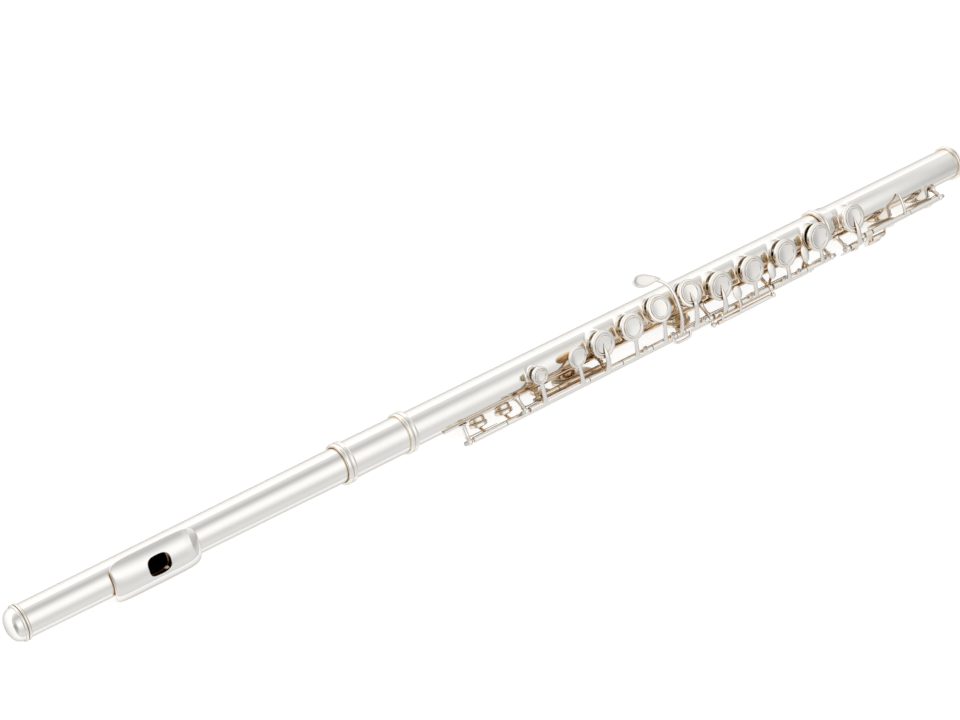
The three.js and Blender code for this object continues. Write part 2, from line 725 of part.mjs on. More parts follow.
// The B flat side lever: a touch over the main line, and an arm back to the F sharp hinge.
function sideLever() {
  const tube = [376, 418.8];
  const whole = join(
    tubeOn(SIDE, tube, 1.4),
    wire([[393.5, -20.8, 14.4], [393.5, -18, 16.3], [393.5, -12, 16.8]], 0.8, 5),
    touch([3.3, 4.2, 0.7], [393.5, -9, 16.9]),
    wire([[379, -20.8, 14.4], [379, -19, 15.5], [379, -16.9, 15.5]], 0.8, 5),
  );
  addPiece('b_flat_side_lever', cut(whole, boreOn(SIDE, tube, SIDE_HOLE)), SILVER);
}
sideLever();

// The foot D sharp key: cup on top, touch down beside the rod.
function footDSharpKey() {
  const tube = [490.5, 500.5];
  const finger = touch([6.8, 4.6, 0.8], [493.4, -20.0, 8.1], 68);
  const arm = wire([[495, -17.2, 13.4], [494.5, -19.4, 12.6], [494, -20.4, 9.6]], 1.0, 5);
  const whole = join(cupShape(HOLES.foot_d_sharp), tubeOn(MAIN, tube), finger, arm)
    .add(pointedArm(HOLES.foot_d_sharp));
  addPiece('foot_d_sharp_key', cut(whole, boreOn(MAIN, tube)), SILVER);
  addPiece('foot_d_sharp_pad', join(padShape(HOLES.foot_d_sharp)), SKIN);
}
footDSharpKey();

// The arm from the low line down over the outside of a low cup.
const lowCupArm = ({ x }) => wire([
  [x, -15.4, 10.6],
  [x, -16.7, 8.0],
  [x, -16.6, 4.0],
  [x, -15.6, -0.8],
], 1.0, 4);

const ROLLER = { radius: 1.7, hole: 0.8, pin: 0.5, length: 10.4 };
const C_SHARP_ROLLER = { from: 512.9, line: [-19.4, 7.4] };
const C_ROLLER = { from: 511.7, line: [-21.1, 3.2] };

// The low C key's steel runs inside the C sharp key's tube, so both turn on one line.
function lowKeys() {
  const group = pivot(LOW, OPEN_LOW);
  const sharpTube = [511.8, 545.6];
  const [y, z] = C_SHARP_ROLLER.line;
  const [near, far] = [C_SHARP_ROLLER.from - GAP, C_SHARP_ROLLER.from + ROLLER.length + GAP];
  const kicker = wire([[541, -13.4, 12.8], [541, -9, 14.2], [541, -3.4, 14.4], [541, -0.6, 13.9]], 0.95, 4);
  const cSharp = join(
    tubeOn(LOW, sharpTube, TRILL_TUBE),
    cupShape(HOLES.foot_c_sharp),
    lowCupArm(HOLES.foot_c_sharp),
    kicker,
    wire([[near - 0.7, y, z], [near - 0.7, -17.2, 8.9], [near - 0.7, -15.2, 10.6]], 0.7, 4),
    wire([[far + 0.7, y, z], [far + 0.7, -17.2, 8.9], [far + 0.7, -15.2, 10.6]], 0.7, 4),
    bar(near - 0.7, far + 0.7, ROLLER.pin, C_SHARP_ROLLER.line, 8),
  );
  addPiece('foot_c_sharp_key', cut(cSharp, boreOn(LOW, sharpTube)), SILVER, group);
  addPiece('foot_c_sharp_pad', join(padShape(HOLES.foot_c_sharp)), SKIN, group);
  const [cy, cz] = C_ROLLER.line;
  const pinEnd = C_ROLLER.from + ROLLER.length + GAP + 0.8;
  const c = join(
    bar(POSTS.footMiddle, POSTS.footEnd + 1, STEEL_RADIUS, LOW),
    tubeOn(LOW, [505.3, 510.8], TRILL_TUBE),
    tubeOn(LOW, [545.9, 571.6], TRILL_TUBE),
    cupShape(HOLES.foot_c),
    lowCupArm(HOLES.foot_c),
    wire([[508, -15.2, 11.0], [508, -18.6, 8.6], [508.8, -20.8, 5.4], [510.4, cy, cz]], 0.95, 4),
    bar(509.6, pinEnd, ROLLER.pin, C_ROLLER.line, 8),
    new THREE.SphereGeometry(1.1, 6, 4).translate(pinEnd + 0.4, cy, cz),
  );
  addPiece('foot_c_key', c, SILVER, group);
  addPiece('foot_c_pad', join(padShape(HOLES.foot_c)), SKIN, group);
  [['foot_c_sharp_roller', C_SHARP_ROLLER], ['foot_c_roller', C_ROLLER]].forEach(([name, { from, line }]) => {
    const drum = join(bar(from, from + ROLLER.length, ROLLER.radius, line));
    addPiece(name, cut(drum, bar(from - 1, from + ROLLER.length + 1, ROLLER.hole, line, 8)), SILVER, group);
  });
}
lowKeys();

// ---- the flute's own frame ----------------------------------------------------------------

flute.updateMatrixWorld(true);
const box = new THREE.Box3().setFromObject(flute, true);
const middle = box.getCenter(new THREE.Vector3());
flute.position.set(-middle.x, -middle.y, -box.min.z);

export default flute;
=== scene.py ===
import json
import math

import bmesh
import bpy
from mathutils import Matrix, Vector


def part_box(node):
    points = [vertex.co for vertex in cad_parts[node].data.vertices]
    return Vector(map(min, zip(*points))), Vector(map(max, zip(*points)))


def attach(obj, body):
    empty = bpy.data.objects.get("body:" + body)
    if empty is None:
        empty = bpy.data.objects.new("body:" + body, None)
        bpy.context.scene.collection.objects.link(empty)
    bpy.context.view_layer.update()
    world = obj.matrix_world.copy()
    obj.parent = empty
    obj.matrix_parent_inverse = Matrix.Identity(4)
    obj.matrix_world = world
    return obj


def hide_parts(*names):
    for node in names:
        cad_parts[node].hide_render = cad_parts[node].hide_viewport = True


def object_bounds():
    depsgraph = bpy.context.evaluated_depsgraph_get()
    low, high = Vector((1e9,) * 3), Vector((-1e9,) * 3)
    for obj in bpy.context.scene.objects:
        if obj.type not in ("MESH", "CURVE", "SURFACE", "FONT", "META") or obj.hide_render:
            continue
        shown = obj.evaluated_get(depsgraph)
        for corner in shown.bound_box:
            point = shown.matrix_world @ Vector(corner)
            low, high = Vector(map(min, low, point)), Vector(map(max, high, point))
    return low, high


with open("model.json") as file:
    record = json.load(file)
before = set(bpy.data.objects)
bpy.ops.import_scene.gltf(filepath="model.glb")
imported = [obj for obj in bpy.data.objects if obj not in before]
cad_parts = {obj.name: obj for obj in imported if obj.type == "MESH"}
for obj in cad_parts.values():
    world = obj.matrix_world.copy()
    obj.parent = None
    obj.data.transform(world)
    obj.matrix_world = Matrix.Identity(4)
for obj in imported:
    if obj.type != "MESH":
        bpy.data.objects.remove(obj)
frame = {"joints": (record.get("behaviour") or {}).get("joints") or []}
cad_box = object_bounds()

# ---- the drawing frame --------------------------------------------------------------------
# Pieces are drawn in millimetres from the middle of the embouchure hole on the bore axis,
# with X towards the foot, Z up over the cups, and -Y towards the key rods.

MM = 0.001


def middle(node):
    low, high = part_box(node)
    return (low + high) / 2


ORIGIN = Vector((middle("embouchure_riser").x, middle("crown").y, middle("crown").z))
JOINTS = {joint["name"]: joint for joint in frame["joints"]}


def drawn(point):
    """A point of the row frame, in the drawing frame."""
    return (Vector(point) - ORIGIN) / MM


def span(node):
    """Where a CAD node starts and ends along X."""
    low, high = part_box(node)
    return drawn(low).x, drawn(high).x


def rod_line(body):
    """The (y, z) of the line that a key turns about."""
    place = drawn(JOINTS[body + "_press"]["pos_m"])
    return place.y, place.z


MAIN = rod_line("a_key")
TRILL = rod_line("d_trill_key")
THUMB = rod_line("thumb_b_key")
SIDE = rod_line("b_flat_side_lever")
LOW = rod_line("foot_c_key")

# ---- dimensions ---------------------------------------------------------------------------

# Sides of a turned shape.
ROUND = 96
ROD_ROUND = 32

HEAD = {"crown": 8.9, "barrel": 9.85, "wall": 0.4}
BODY_RADIUS = 9.95
BORE_RADIUS = 9.5
TENON_RADIUS = 9.6
TENON_BORE = 9.15
SOCKET_RADIUS = 10.6
RING_RADIUS = 11.85
BEAD_RISE = 0.55
BARREL_RADIUS = 10.55
BARREL_BORE = 10.15
BLOW_TILT = 5.6
BLOW_HOLE = (6.4, 5.4)
BLOW_CORNERS = 3.0
# The lip plate: half its length and width, the shift of its middle from the hole, the half-width
# and height of its arch, and how far and how suddenly its two ends fall.
LIP = {
    "length": 25.25, "width": 11.8, "shift": (-0.2, -1.2), "arch": (14.2, 15.0), "drop": -1.4,
    "thickness": 0.9, "fall": 3.0, "shoulder": 7.0,
}
NEAR_CORNERS = 7.5
FAR_CORNERS = 6.0

# Heights above the bore axis, with the cup closed.
CHIMNEY_TOP = 12.5
CHIMNEY_WALL = 0.45
CHIMNEY_FILLET = 1.5
CHIMNEY_RIM = 0.32
PAD_FACE = 12.8
PAD_TOP = 14.4
CUP_RIM = 13.4
CUP_FLOOR = 14.7
CUP_TOP = 15.9
CUP_WALL = 0.5

TUBE_RADIUS = 1.8
TRILL_TUBE_RADIUS = 1.7
STEEL_RADIUS = 1.0
SIDE_STEEL_RADIUS = 0.65
ROLLER_PIN_RADIUS = 0.5
POST_BALL = 2.0
RIB_OUTER = 11.1
RIB_INNER = 10.0

# Degrees that the keys which stand open are drawn away from their closed places.
OPEN_MAIN = 7.5
OPEN_THUMB = -10
OPEN_LOW = -10

# Tone holes: the angle from the top towards the rods, the hole's radius and the cup's.
HOLES = {
    "d_sharp_trill": (85, 3.9, 5.2),
    "d_trill": (85, 3.9, 5.2),
    "c": (0, 3.9, 5.2),
    "thumb_b": (104, 6.2, 7.8),
    "b_flat": (0, 6.5, 8.25),
    "a": (-6, 6.5, 8.25),
    "g_upper": (-17, 6.5, 8.25),
    "g_lower": (-17, 6.5, 8.25),
    "g_sharp": (102, 6.4, 8.0),
    "f_sharp": (0, 7.3, 8.8),
    "f": (0, 7.3, 8.8),
    "e": (0, 7.3, 8.8),
    "d": (0, 7.3, 8.8),
    "foot_d_sharp": (0, 7.4, 8.8),
    "foot_c_sharp": (90, 7.4, 8.8),
    "foot_c": (90, 7.4, 8.8),
}


def station(hole):
    low, high = span(hole + "_pad")
    return (low + high) / 2


# ---- shape tools --------------------------------------------------------------------------


class Shape:
    """Points in the drawing frame and the faces between them."""

    def __init__(self):
        self.points = []
        self.faces = []

    def add(self, other):
        offset = len(self.points)
        self.points.extend(other.points)
        self.faces.extend([tuple(i + offset for i in face) for face in other.faces])
        return self

    def moved(self, matrix):
        self.points = [matrix @ point for point in self.points]
        return self


def together(*shapes):
    whole = Shape()
    for shape in shapes:
        whole.add(shape)
    return whole


def skin(rows, wrap=False, caps=True):
    """A skin through loops of points, closed into a ring or capped at both ends."""
    shape = Shape()
    count = len(rows[0])
    for row in rows:
        shape.points.extend(Vector(point) for point in row)
    total = len(rows)
    for i in range(total if wrap else total - 1):
        here, there = i * count, ((i + 1) % total) * count
        for j in range(count):
            k = (j + 1) % count
            shape.faces.append((here + j, here + k, there + k, there + j))
    if caps and not wrap:
        shape.faces.append(tuple(range(count - 1, -1, -1)))
        shape.faces.append(tuple(range((total - 1) * count, total * count)))
    return shape


def circle(count):
    angles = [2 * math.pi * i / count for i in range(count)]
    return [(math.cos(angle), math.sin(angle)) for angle in angles]


def powered(pair, power):
    """A point of the unit circle moved onto the unit superellipse of this power."""
    return [math.copysign(abs(part) ** (2 / power), part) for part in pair]


def lathe(profile, matrix, segments=ROUND):
    """A profile of (radius, height) points turned about the local Z axis.
    It starts and ends on the axis, or else closes on itself."""
    rows = [[(r * c, r * s, h) for c, s in circle(segments)] for r, h in profile]
    on_axis = profile[0][0] == 0 and profile[-1][0] == 0
    return skin(rows, wrap=not on_axis, caps=False).moved(matrix)


ALONG_X = Matrix(((0, 0, 1, 0), (1, 0, 0, 0), (0, 1, 0, 0), (0, 0, 0, 1)))


def on_line(line, x=0.0):
    return Matrix.Translation((x, line[0], line[1])) @ ALONG_X


def swung(x, angle):
    """Local Z points out of the tube at an angle from the top towards the rods."""
    return Matrix.Translation((x, 0, 0)) @ Matrix.Rotation(math.radians(angle), 4, "X")


def turned_open(line, degrees):
    there = Matrix.Translation((0, line[0], line[1]))
    return there @ Matrix.Rotation(math.radians(degrees), 4, "X") @ there.inverted()


def arc(centre, radius, start, end, steps=8):
    """Points of an arc in a (radius, height) profile, angles in degrees."""
    points = []
    for i in range(steps + 1):
        angle = math.radians(start + (end - start) * i / steps)
        points.append((centre[0] + radius * math.cos(angle), centre[1] + radius * math.sin(angle)))
    return points


def rod(start, end, radius, line, ease=0.15, segments=ROD_ROUND, bore=0):
    """A round rod with eased ends, solid or bored."""
    profile = [
        (bore, start), (radius - ease, start), (radius, start + ease),
        (radius, end - ease), (radius - ease, end), (bore, end),
    ]
    return lathe(profile, on_line(line), segments)


def hinge_tube(start, end, line=MAIN, radius=TUBE_RADIUS, bore=1.25):
    return rod(start, end, radius, line, 0.16, bore=bore)


def flowing(points, steps):
    """A smooth run of values through control points of any number of values."""
    run = []
    last = len(points) - 1
    for i in range(last):
        around = points[max(i - 1, 0)], points[i], points[i + 1], points[min(i + 2, last)]
        for k in range(steps + (1 if i == last - 1 else 0)):
            t = k / steps
            values = []
            for a, b, c, d in zip(*around):
                squared = (2 * a - 5 * b + 4 * c - d) * t * t
                cubed = (3 * b - a - 3 * c + d) * t ** 3
                values.append(0.5 * (2 * b + (c - a) * t + squared + cubed))
            run.append(values)
    return run


def swept(controls, up=(0, 0, 1), power=2.4, count=24, steps=6):
    """A bar swept through controls of (x, y, z, width, height). Power 2 is an ellipse,
    and a higher power is squarer. Both ends are rounded off."""
    run = flowing(controls, steps)
    ring = [powered(pair, power) for pair in circle(count)]
    rows = []
    up = Vector(up)
    for i, (x, y, z, width, height) in enumerate(run):
        before, after = run[max(i - 1, 0)], run[min(i + 1, len(run) - 1)]
        forward = (Vector(after[:3]) - Vector(before[:3])).normalized()
        side = forward.cross(up).normalized()
        over = side.cross(forward)
        place = Vector((x, y, z))
        width, height = max(width, 0.02), max(height, 0.02)
        rows.append((place, forward, side * (width / 2), over * (height / 2)))

    def loop(place, side, over, share=1.0):
        return [place + side * (a * share) + over * (b * share) for a, b in ring]

    def rounded_end(row, outward, shares):
        place, forward, side, over = row
        reach = outward * min(side.length, over.length)
        ends = [place + forward * reach * math.sqrt(1 - share ** 2) for share in shares]
        return [loop(end, side, over, share) for end, share in zip(ends, shares)]

    loops = rounded_end(rows[0], -1, END_SHARES)
    loops += [loop(place, side, over) for place, _, side, over in rows]
    loops += rounded_end(rows[-1], 1, END_SHARES[::-1])
    return skin(loops)


def wire(points, radius):
    thick = [(*point, 2 * radius, 2 * radius) for point in points]
    return swept(thick, power=2.0, count=16, steps=8)


def plate(outline, profile, matrix, bow=0.0):
    """A plate: an outline of (x, y) points, scaled and lifted through (scale, height) steps.
    The first and last step have scale 0. A bow lowers it with the square of y."""
    rows = []
    for scale, height in profile:
        scaled = [(x * scale, y * scale) for x, y in outline]
        rows.append([Vector((x, y, height - bow * y * y)) for x, y in scaled])
    return skin(rows, caps=False).moved(matrix)


def superellipse(half_x, half_y, power, count=64):
    unit = [powered(pair, power) for pair in circle(count)]
    return [(half_x * x, half_y * y) for x, y in unit]


def teardrop(length, width, count=64):
    """An outline along X, round at the -X end and drawn out to a neck at the +X end."""
    outline = []
    for c, s in circle(count):
        t = (c + 1) / 2
        outline.append((length / 2 * c, width / 2 * s * (1 - 0.72 * t ** 1.5)))
    return outline


# How far the rounded ends of a swept bar have closed in, step by step.
END_SHARES = (0.35, 0.75, 0.94)
# Metres: points nearer than this are merged, and edges shorter than this are dropped.
WELD = 1e-6
SLIVER = 1e-7

# Section of a finger button: (share of the outline, height) from the top's middle round to below.
BUTTON = [
    (0, 0.50), (0.4, 0.48), (0.7, 0.42), (0.86, 0.36), (0.95, 0.2), (1.0, -0.05),
    (0.97, -0.3), (0.88, -0.45), (0.6, -0.5), (0, -0.5),
]


def new_object(name, mesh):
    thing = bpy.data.objects.new(name, mesh)
    bpy.context.scene.collection.objects.link(thing)
    return thing


def welded_mesh(name, points, faces, drop_slivers):
    """A mesh with its doubled points merged and all its faces turned outwards."""
    mesh = bpy.data.meshes.new(name)
    mesh.from_pydata(points, [], faces)
    work = bmesh.new()
    work.from_mesh(mesh)
    bmesh.ops.remove_doubles(work, verts=work.verts, dist=WELD)
    if drop_slivers:
        bmesh.ops.dissolve_degenerate(work, dist=SLIVER, edges=work.edges)
    bmesh.ops.recalc_face_normals(work, faces=work.faces)
    work.to_mesh(mesh)
    work.free()
    return mesh


def make(name, shape, material, body, replaces=(), sharp=34):
    """Turns a shape into a piece that rides on a body and stands for CAD nodes."""
    points = [ORIGIN + point * MM for point in shape.points]
    mesh = welded_mesh(name, points, shape.faces, drop_slivers=True)
    mesh.shade_smooth()
    mesh.set_sharp_from_angle(angle=math.radians(sharp))
    mesh.materials.append(material)
    piece = new_object(name, mesh)
    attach(piece, body)
    if replaces:
        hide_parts(*replaces)


def carved(shape, cutters):
    """A shape after each cutter shape is cut out of it."""

    def as_object(name, form):
        points = [point * MM for point in form.points]
        return new_object(name, welded_mesh(name, points, form.faces, drop_slivers=False))

    base = as_object("carving", shape)
    tools = []
    for index, cutter in enumerate(cutters):
        tool = as_object(f"cutter_{index}", cutter)
        step = base.modifiers.new(f"cut_{index}", "BOOLEAN")
        step.operation = "DIFFERENCE"
        step.solver = "EXACT"
        step.object = tool
        tools.append(tool)
    graph = bpy.context.evaluated_depsgraph_get()
    mesh = bpy.data.meshes.new_from_object(base.evaluated_get(graph))
    for thing in [base, *tools]:
        old = thing.data
        bpy.data.objects.remove(thing)
        bpy.data.meshes.remove(old)
    result = Shape()
    result.points = [vertex.co / MM for vertex in mesh.vertices]
    result.faces = [tuple(face.vertices) for face in mesh.polygons]
    bpy.data.meshes.remove(mesh)
    return result


# ---- materials ----------------------------------------------------------------------------


class Graph:
    """A node tree, with short names for the nodes that the looks share."""

    def __init__(self, tree, space="Object"):
        self.tree = tree
        self.place = self.node("TexCoord", {}).outputs[space]

    def link(self, source, target):
        self.tree.links.new(source, target)

    def node(self, kind, inputs, **settings):
        """A new node, with each input set to a value or fed from another node's socket."""
        made = self.tree.nodes.new("ShaderNode" + kind)
        for name, setting in settings.items():
            setattr(made, name, setting)
        for name, value in inputs.items():
            if isinstance(value, bpy.types.NodeSocket):
                self.link(value, made.inputs[name])
            else:
                made.inputs[name].default_value = value
        return made

    def axes(self):
        return self.node("SeparateXYZ", {"Vector": self.place}).outputs

    def maths(self, operation, *values):
        return self.node("Math", dict(enumerate(values)), operation=operation).outputs["Value"]

    def stretched(self, scale):
        return self.node("Mapping", {"Vector": self.place, "Scale": scale}).outputs["Vector"]

    def noise(self, vector, scale, detail=3.0, roughness=0.5):
        inputs = {"Vector": vector, "Scale": scale, "Detail": detail, "Roughness": roughness}
        return self.node("TexNoise", inputs).outputs["Fac"]

    def ramp(self, value, stops, interpolation="LINEAR"):
        """Colours at (position, colour) stops, from the lowest position up."""
        node = self.node("ValToRGB", {"Fac": value})
        node.color_ramp.interpolation = interpolation
        elements = node.color_ramp.elements
        while len(elements) < len(stops):
            elements.new(0.5)
        for element, (position, color) in zip(elements, stops):
            element.position = position
            element.color = (*color, 1)
        return node.outputs["Color"]

    def scaled(self, value, low, high, from_low=0.0, from_high=1.0, interpolation="LINEAR"):
        names = "Value", "From Min", "From Max", "To Min", "To Max"
        inputs = dict(zip(names, (value, from_low, from_high, low, high)))
        return self.node("MapRange", inputs, interpolation_type=interpolation).outputs["Result"]

    def mixed(self, factor, first, second):
        inputs = {"Factor": factor, "A": first, "B": second}
        return self.node("Mix", inputs, data_type="RGBA").outputs["Result"]

    def painted_shade(self, unshaded_tone, shade_tones):
        """Painted shade: mixes the metal's colour towards yellow where ambient occlusion finds other
        surfaces close, and towards brown in the tightest corners. The underside, where only the floor
        is close, is left unshaded."""
        # Painted shade: the nearer other surfaces are, the more the base colour turns yellow, then
        # brown.
        nearness = self.node("AmbientOcclusion", {"Distance": SHADE_REACH}, samples=8).outputs["AO"]
        above_floor = self.scaled(self.axes()["Z"], 0.0, 1.0, *FLOOR_CLEAR)
        yellow, brown = shade_tones
        light_shade_cover = self.maths("MULTIPLY", self.scaled(nearness, 0.9, 0.0, 0.42, 0.8), above_floor)
        deep_shade_cover = self.maths("MULTIPLY", self.scaled(nearness, 0.95, 0.0, 0.12, 0.5), above_floor)
        lightly_shaded = self.mixed(light_shade_cover, unshaded_tone, (*yellow, 1))
        return self.mixed(deep_shade_cover, lightly_shaded, (*brown, 1))

    def bump(self, height, strength, distance):
        inputs = {"Height": height, "Strength": strength, "Distance": distance}
        return self.node("Bump", inputs).outputs["Normal"]


def new_material(name):
    material = bpy.data.materials.new(name)
    material.use_nodes = True
    material.node_tree.nodes.clear()
    graph = Graph(material.node_tree)
    shader = graph.node("BsdfPrincipled", {})
    graph.node("OutputMaterial", {"Surface": shader.outputs["BSDF"]})
    return material, graph, shader.inputs


def metal(name, light, warm, shade_tones, roughness, bump_strength):
    """Plated metal: tone and polish that drift, faint wiping marks, and warm painted shade in
    recesses.
    """
    material, graph, sockets = new_material(name)
    drift = graph.noise(graph.place, 45.0, 4.0)
    unshaded_tone = graph.ramp(drift, [(0.3, light), (0.75, warm)])
    # Painted shade in recesses and between parts, mixed into the base colour.
    graph.link(graph.painted_shade(unshaded_tone, shade_tones), sockets["Base Color"])
    sockets["Metallic"].default_value = 1.0
    sockets["Specular Tint"].default_value = (*EDGE_TINT, 1)
    marks = graph.noise(graph.stretched(WIPED_ALONG), 1.0, 2.0)
    haze = graph.noise(graph.place, 220.0, 5.0, 0.6)
    graph.link(graph.scaled(haze, *roughness, 0.3, 0.7), sockets["Roughness"])
    graph.link(graph.bump(marks, bump_strength, 0.00002), sockets["Normal"])
    return material


def soft_material(name, scale, detail, grain, tones):
    """A mottled material. Returns it with its graph, its sockets and the mottling."""
    material, graph, sockets = new_material(name)
    mottling = graph.noise(graph.place, scale, detail, grain)
    graph.link(graph.ramp(mottling, tones), sockets["Base Color"])
    return material, graph, sockets, mottling


def skin_material():
    """Stretched gold-beater's skin over felt."""
    tones = [(0.3, (0.80, 0.66, 0.42)), (0.7, (0.88, 0.78, 0.58))]
    material, graph, sockets, mottling = soft_material("pad_skin", 900.0, 6.0, 0.6, tones)
    graph.link(graph.scaled(mottling, 0.42, 0.6), sockets["Roughness"])
    wrinkles = graph.noise(graph.place, 2600.0, 3.0)
    graph.link(graph.bump(wrinkles, 0.35, 0.00006), sockets["Normal"])
    return material


def cork_material():
    """Cork: pale grain with dark pores."""
    tones = [(0.28, (0.24, 0.13, 0.06)), (0.42, (0.58, 0.38, 0.21)), (0.75, (0.74, 0.55, 0.34))]
    material, graph, sockets, mottling = soft_material("cork", 700.0, 8.0, 0.7, tones)
    sockets["Roughness"].default_value = 0.85
    graph.link(graph.bump(mottling, 0.6, 0.0002), sockets["Normal"])
    return material


# How near another surface has to be for the painted shade, and the heights where it fades in, in
# metres.
SHADE_REACH = 0.014
FLOOR_CLEAR = (0.004, 0.009)
EDGE_TINT = (0.58, 0.57, 0.55)
WIPED_ALONG = (60.0, 1500.0, 1500.0)
# The light and the heavy colour of the painted shade on each metal.
PLATE_SHADE_TONES = ((0.84, 0.62, 0.36), (0.34, 0.18, 0.09))
STEEL_SHADE_TONES = ((0.50, 0.38, 0.26), (0.26, 0.17, 0.10))
SILVER = metal(
    "silver_plate", (0.90, 0.89, 0.87), (0.885, 0.87, 0.84), PLATE_SHADE_TONES, (0.05, 0.11), 0.05)
SILVER_SATIN = metal(
    "silver_key", (0.90, 0.885, 0.86), (0.88, 0.86, 0.83), PLATE_SHADE_TONES, (0.17, 0.22), 0.05)
STEEL = metal(
    "ground_steel", (0.66, 0.66, 0.66), (0.60, 0.59, 0.57), STEEL_SHADE_TONES, (0.18, 0.3), 0.15)
SPRING = metal(
    "spring_steel", (0.46, 0.45, 0.44), (0.38, 0.36, 0.34), STEEL_SHADE_TONES, (0.2, 0.32), 0.1)
PAD_SKIN = skin_material()
CORK = cork_material()

# ---- tubes --------------------------------------------------------------------------------


def bead_ring(start, end, base, top, beads=2):
    """Profile points of (radius, x) for rounded beads standing side by side on a sleeve."""
    valley = top - BEAD_RISE
    points = [(base, start), (valley, start + 0.05)]
    pitch = (end - start) / beads
    reach = pitch / 2 - 0.12
    for i in range(beads):
        centre = start + pitch * (i + 0.5)
        for k in range(11):
            angle = math.radians(180 - 18 * k)
            points.append((valley + BEAD_RISE * math.sin(angle), centre + reach * math.cos(angle)))
    points += [(valley, end - 0.05), (base, end)]
    return points


def axis_lathe(profile, segments=ROUND):
    return lathe(profile, on_line((0, 0)), segments)


def head_radius(x):
    start = span("head_tube")[0]
    taper_end = span("barrel")[0] - 6
    share = min(max((x - start) / (taper_end - start), 0), 1)
    return HEAD["crown"] + (HEAD["barrel"] - HEAD["crown"]) * share


def blow_outline(grow=0.0, count=64):
    return superellipse(BLOW_HOLE[0] + grow, BLOW_HOLE[1] + grow, BLOW_CORNERS, count)


def head_joint():
    start, end = span("head_tube")
    stations = [start + (end - start) * i / 24 for i in range(25)]
    outside = [(head_radius(x), x) for x in stations]
    inside = [(head_radius(x) - HEAD["wall"], x) for x in reversed(stations)]
    tube = axis_lathe(outside + inside)
    column = skin([[Vector((x, y, h)) for x, y in blow_outline()] for h in (4, 16)])
    tube = carved(tube, [column.moved(swung(0, BLOW_TILT))])
    make("head_tube_silver", tube, SILVER, "head", ["head_tube"])


def lip_height(across, along=0.0, inset=0.0):
    """The plate's height: an arch over the tube, falling a little towards both ends."""
    half_width, height = LIP["arch"][0] - inset, LIP["arch"][1] - inset
    fall = LIP["fall"] * (abs(along) / LIP["length"]) ** LIP["shoulder"]
    return LIP["drop"] + height * math.sqrt(max(1 - (across / half_width) ** 2, 0.0)) - fall


def lip_outline(count):
    """The plate's outline: tight corners on the player's side, rounder ones on the far side."""
    shift_x, shift_y = LIP["shift"]
    outline = []
    for c, s in circle(count):
        x, y = powered((c, s), FAR_CORNERS if s > 0 else NEAR_CORNERS)
        outline.append((LIP["length"] * x + shift_x, LIP["width"] * y + shift_y))
    return outline


def lip_plate():
    """The plate is skinned from the hole out to its edge, over the arch, round the edge and back."""
    count = 160
    outlines = list(zip(blow_outline(count=count), lip_outline(count)))
    length, shoulder = LIP["length"], LIP["shoulder"]
    half_width, height = LIP["arch"]
    steepest = shoulder * LIP["fall"] / length

    def row(share, depth):
        points = []
        for (ax, ay), (bx, by) in outlines:
            x, y = ax + (bx - ax) * share, ay + (by - ay) * share
            slope_x = steepest * (abs(x) / length) ** (shoulder - 1)
            slope_y = y * height / half_width ** 2
            normal = Vector((math.copysign(slope_x, x), slope_y, 1)).normalized()
            points.append(Vector((x, y, lip_height(y, x))) - normal * depth)
        return points

    steps = [i / 27 for i in range(28)]
    places = [(0.0, 0.28), (0.004, 0.12), (0.012, 0.03)]
    places += [(0.025 + 0.935 * step, 0.0) for step in steps]
    places += [(0.975, 0.03), (0.988, 0.15), (0.997, 0.4), (1.0, 0.75), (0.997, 1.1), (0.985, 1.3)]
    places += [(0.965 - 0.94 * step, LIP["thickness"]) for step in steps]
    places += [(0.0, LIP["thickness"])]
    rows = [row(share, depth) for share, depth in places]
    shape = skin(rows, wrap=True).moved(swung(0, BLOW_TILT))
    make("lip_plate_silver", shape, SILVER, "head", ["lip_plate"], sharp=50)


def embouchure_riser():
    """A short flared wall from the tube up to the lip plate, open through its middle."""
    tube_radius = head_radius(0)

    def on_tube(y, lift):
        return math.sqrt(max(tube_radius ** 2 - y ** 2, 0.0)) + lift

    def under_plate(y, lift):
        return lip_height(y, inset=LIP["thickness"]) + lift

    steps = [
        (2.6, on_tube, 0.02), (1.9, on_tube, 0.35), (1.45, on_tube, 1.2), (1.5, on_tube, 2.4),
        (2.1, under_plate, -0.3), (2.9, under_plate, -0.02), (0.02, under_plate, -0.02),
        (0.05, on_tube, 2.0), (0.15, on_tube, 0.0), (0.15, on_tube, -0.38), (2.6, on_tube, -0.3),
    ]
    rows = [
        [Vector((x, y, height_at(y, lift))) for x, y in blow_outline(grow)]
        for grow, height_at, lift in steps
    ]
    shape = skin(rows, wrap=True).moved(swung(0, BLOW_TILT))
    make("embouchure_riser_silver", shape, SILVER, "head", ["embouchure_riser"])


def crown():
    """A domed cap with two fine bead rings at its rim."""
    start, end = span("crown")
    rim = span("head_tube")[0] - 0.15
    ring, ring_top = 1.55, 9.75
    shoulder = rim - 2 * ring - 0.3
    dome_radius, dome_height = 8.75, shoulder - start
    profile = [(0, start)]
    for k in range(1, 19):
        angle = math.radians(5 * k)
        reach = dome_radius * math.sin(angle) ** 0.8
        profile.append((reach, shoulder - dome_height * math.cos(angle)))
    for ring_start in (shoulder + 0.2, rim - ring):
        profile += bead_ring(ring_start, ring_start + ring, HEAD["crown"], ring_top, 1)
    plug = HEAD["crown"] - HEAD["wall"] - 0.15
    profile += [(plug, rim), (plug, end), (0, end)]
    make("crown_silver", axis_lathe(profile), SILVER, "crown", ["crown"])


def barrel():
    start, end = span("barrel")
    ring = 5.4
    profile = [(BARREL_BORE, start)]
    profile += bead_ring(start, start + ring, BARREL_RADIUS, RING_RADIUS)
    profile += bead_ring(end - ring, end, BARREL_RADIUS, RING_RADIUS)
    profile += [(BARREL_BORE, end)]
    make("barrel_silver", axis_lathe(profile), SILVER, "body", ["barrel"])


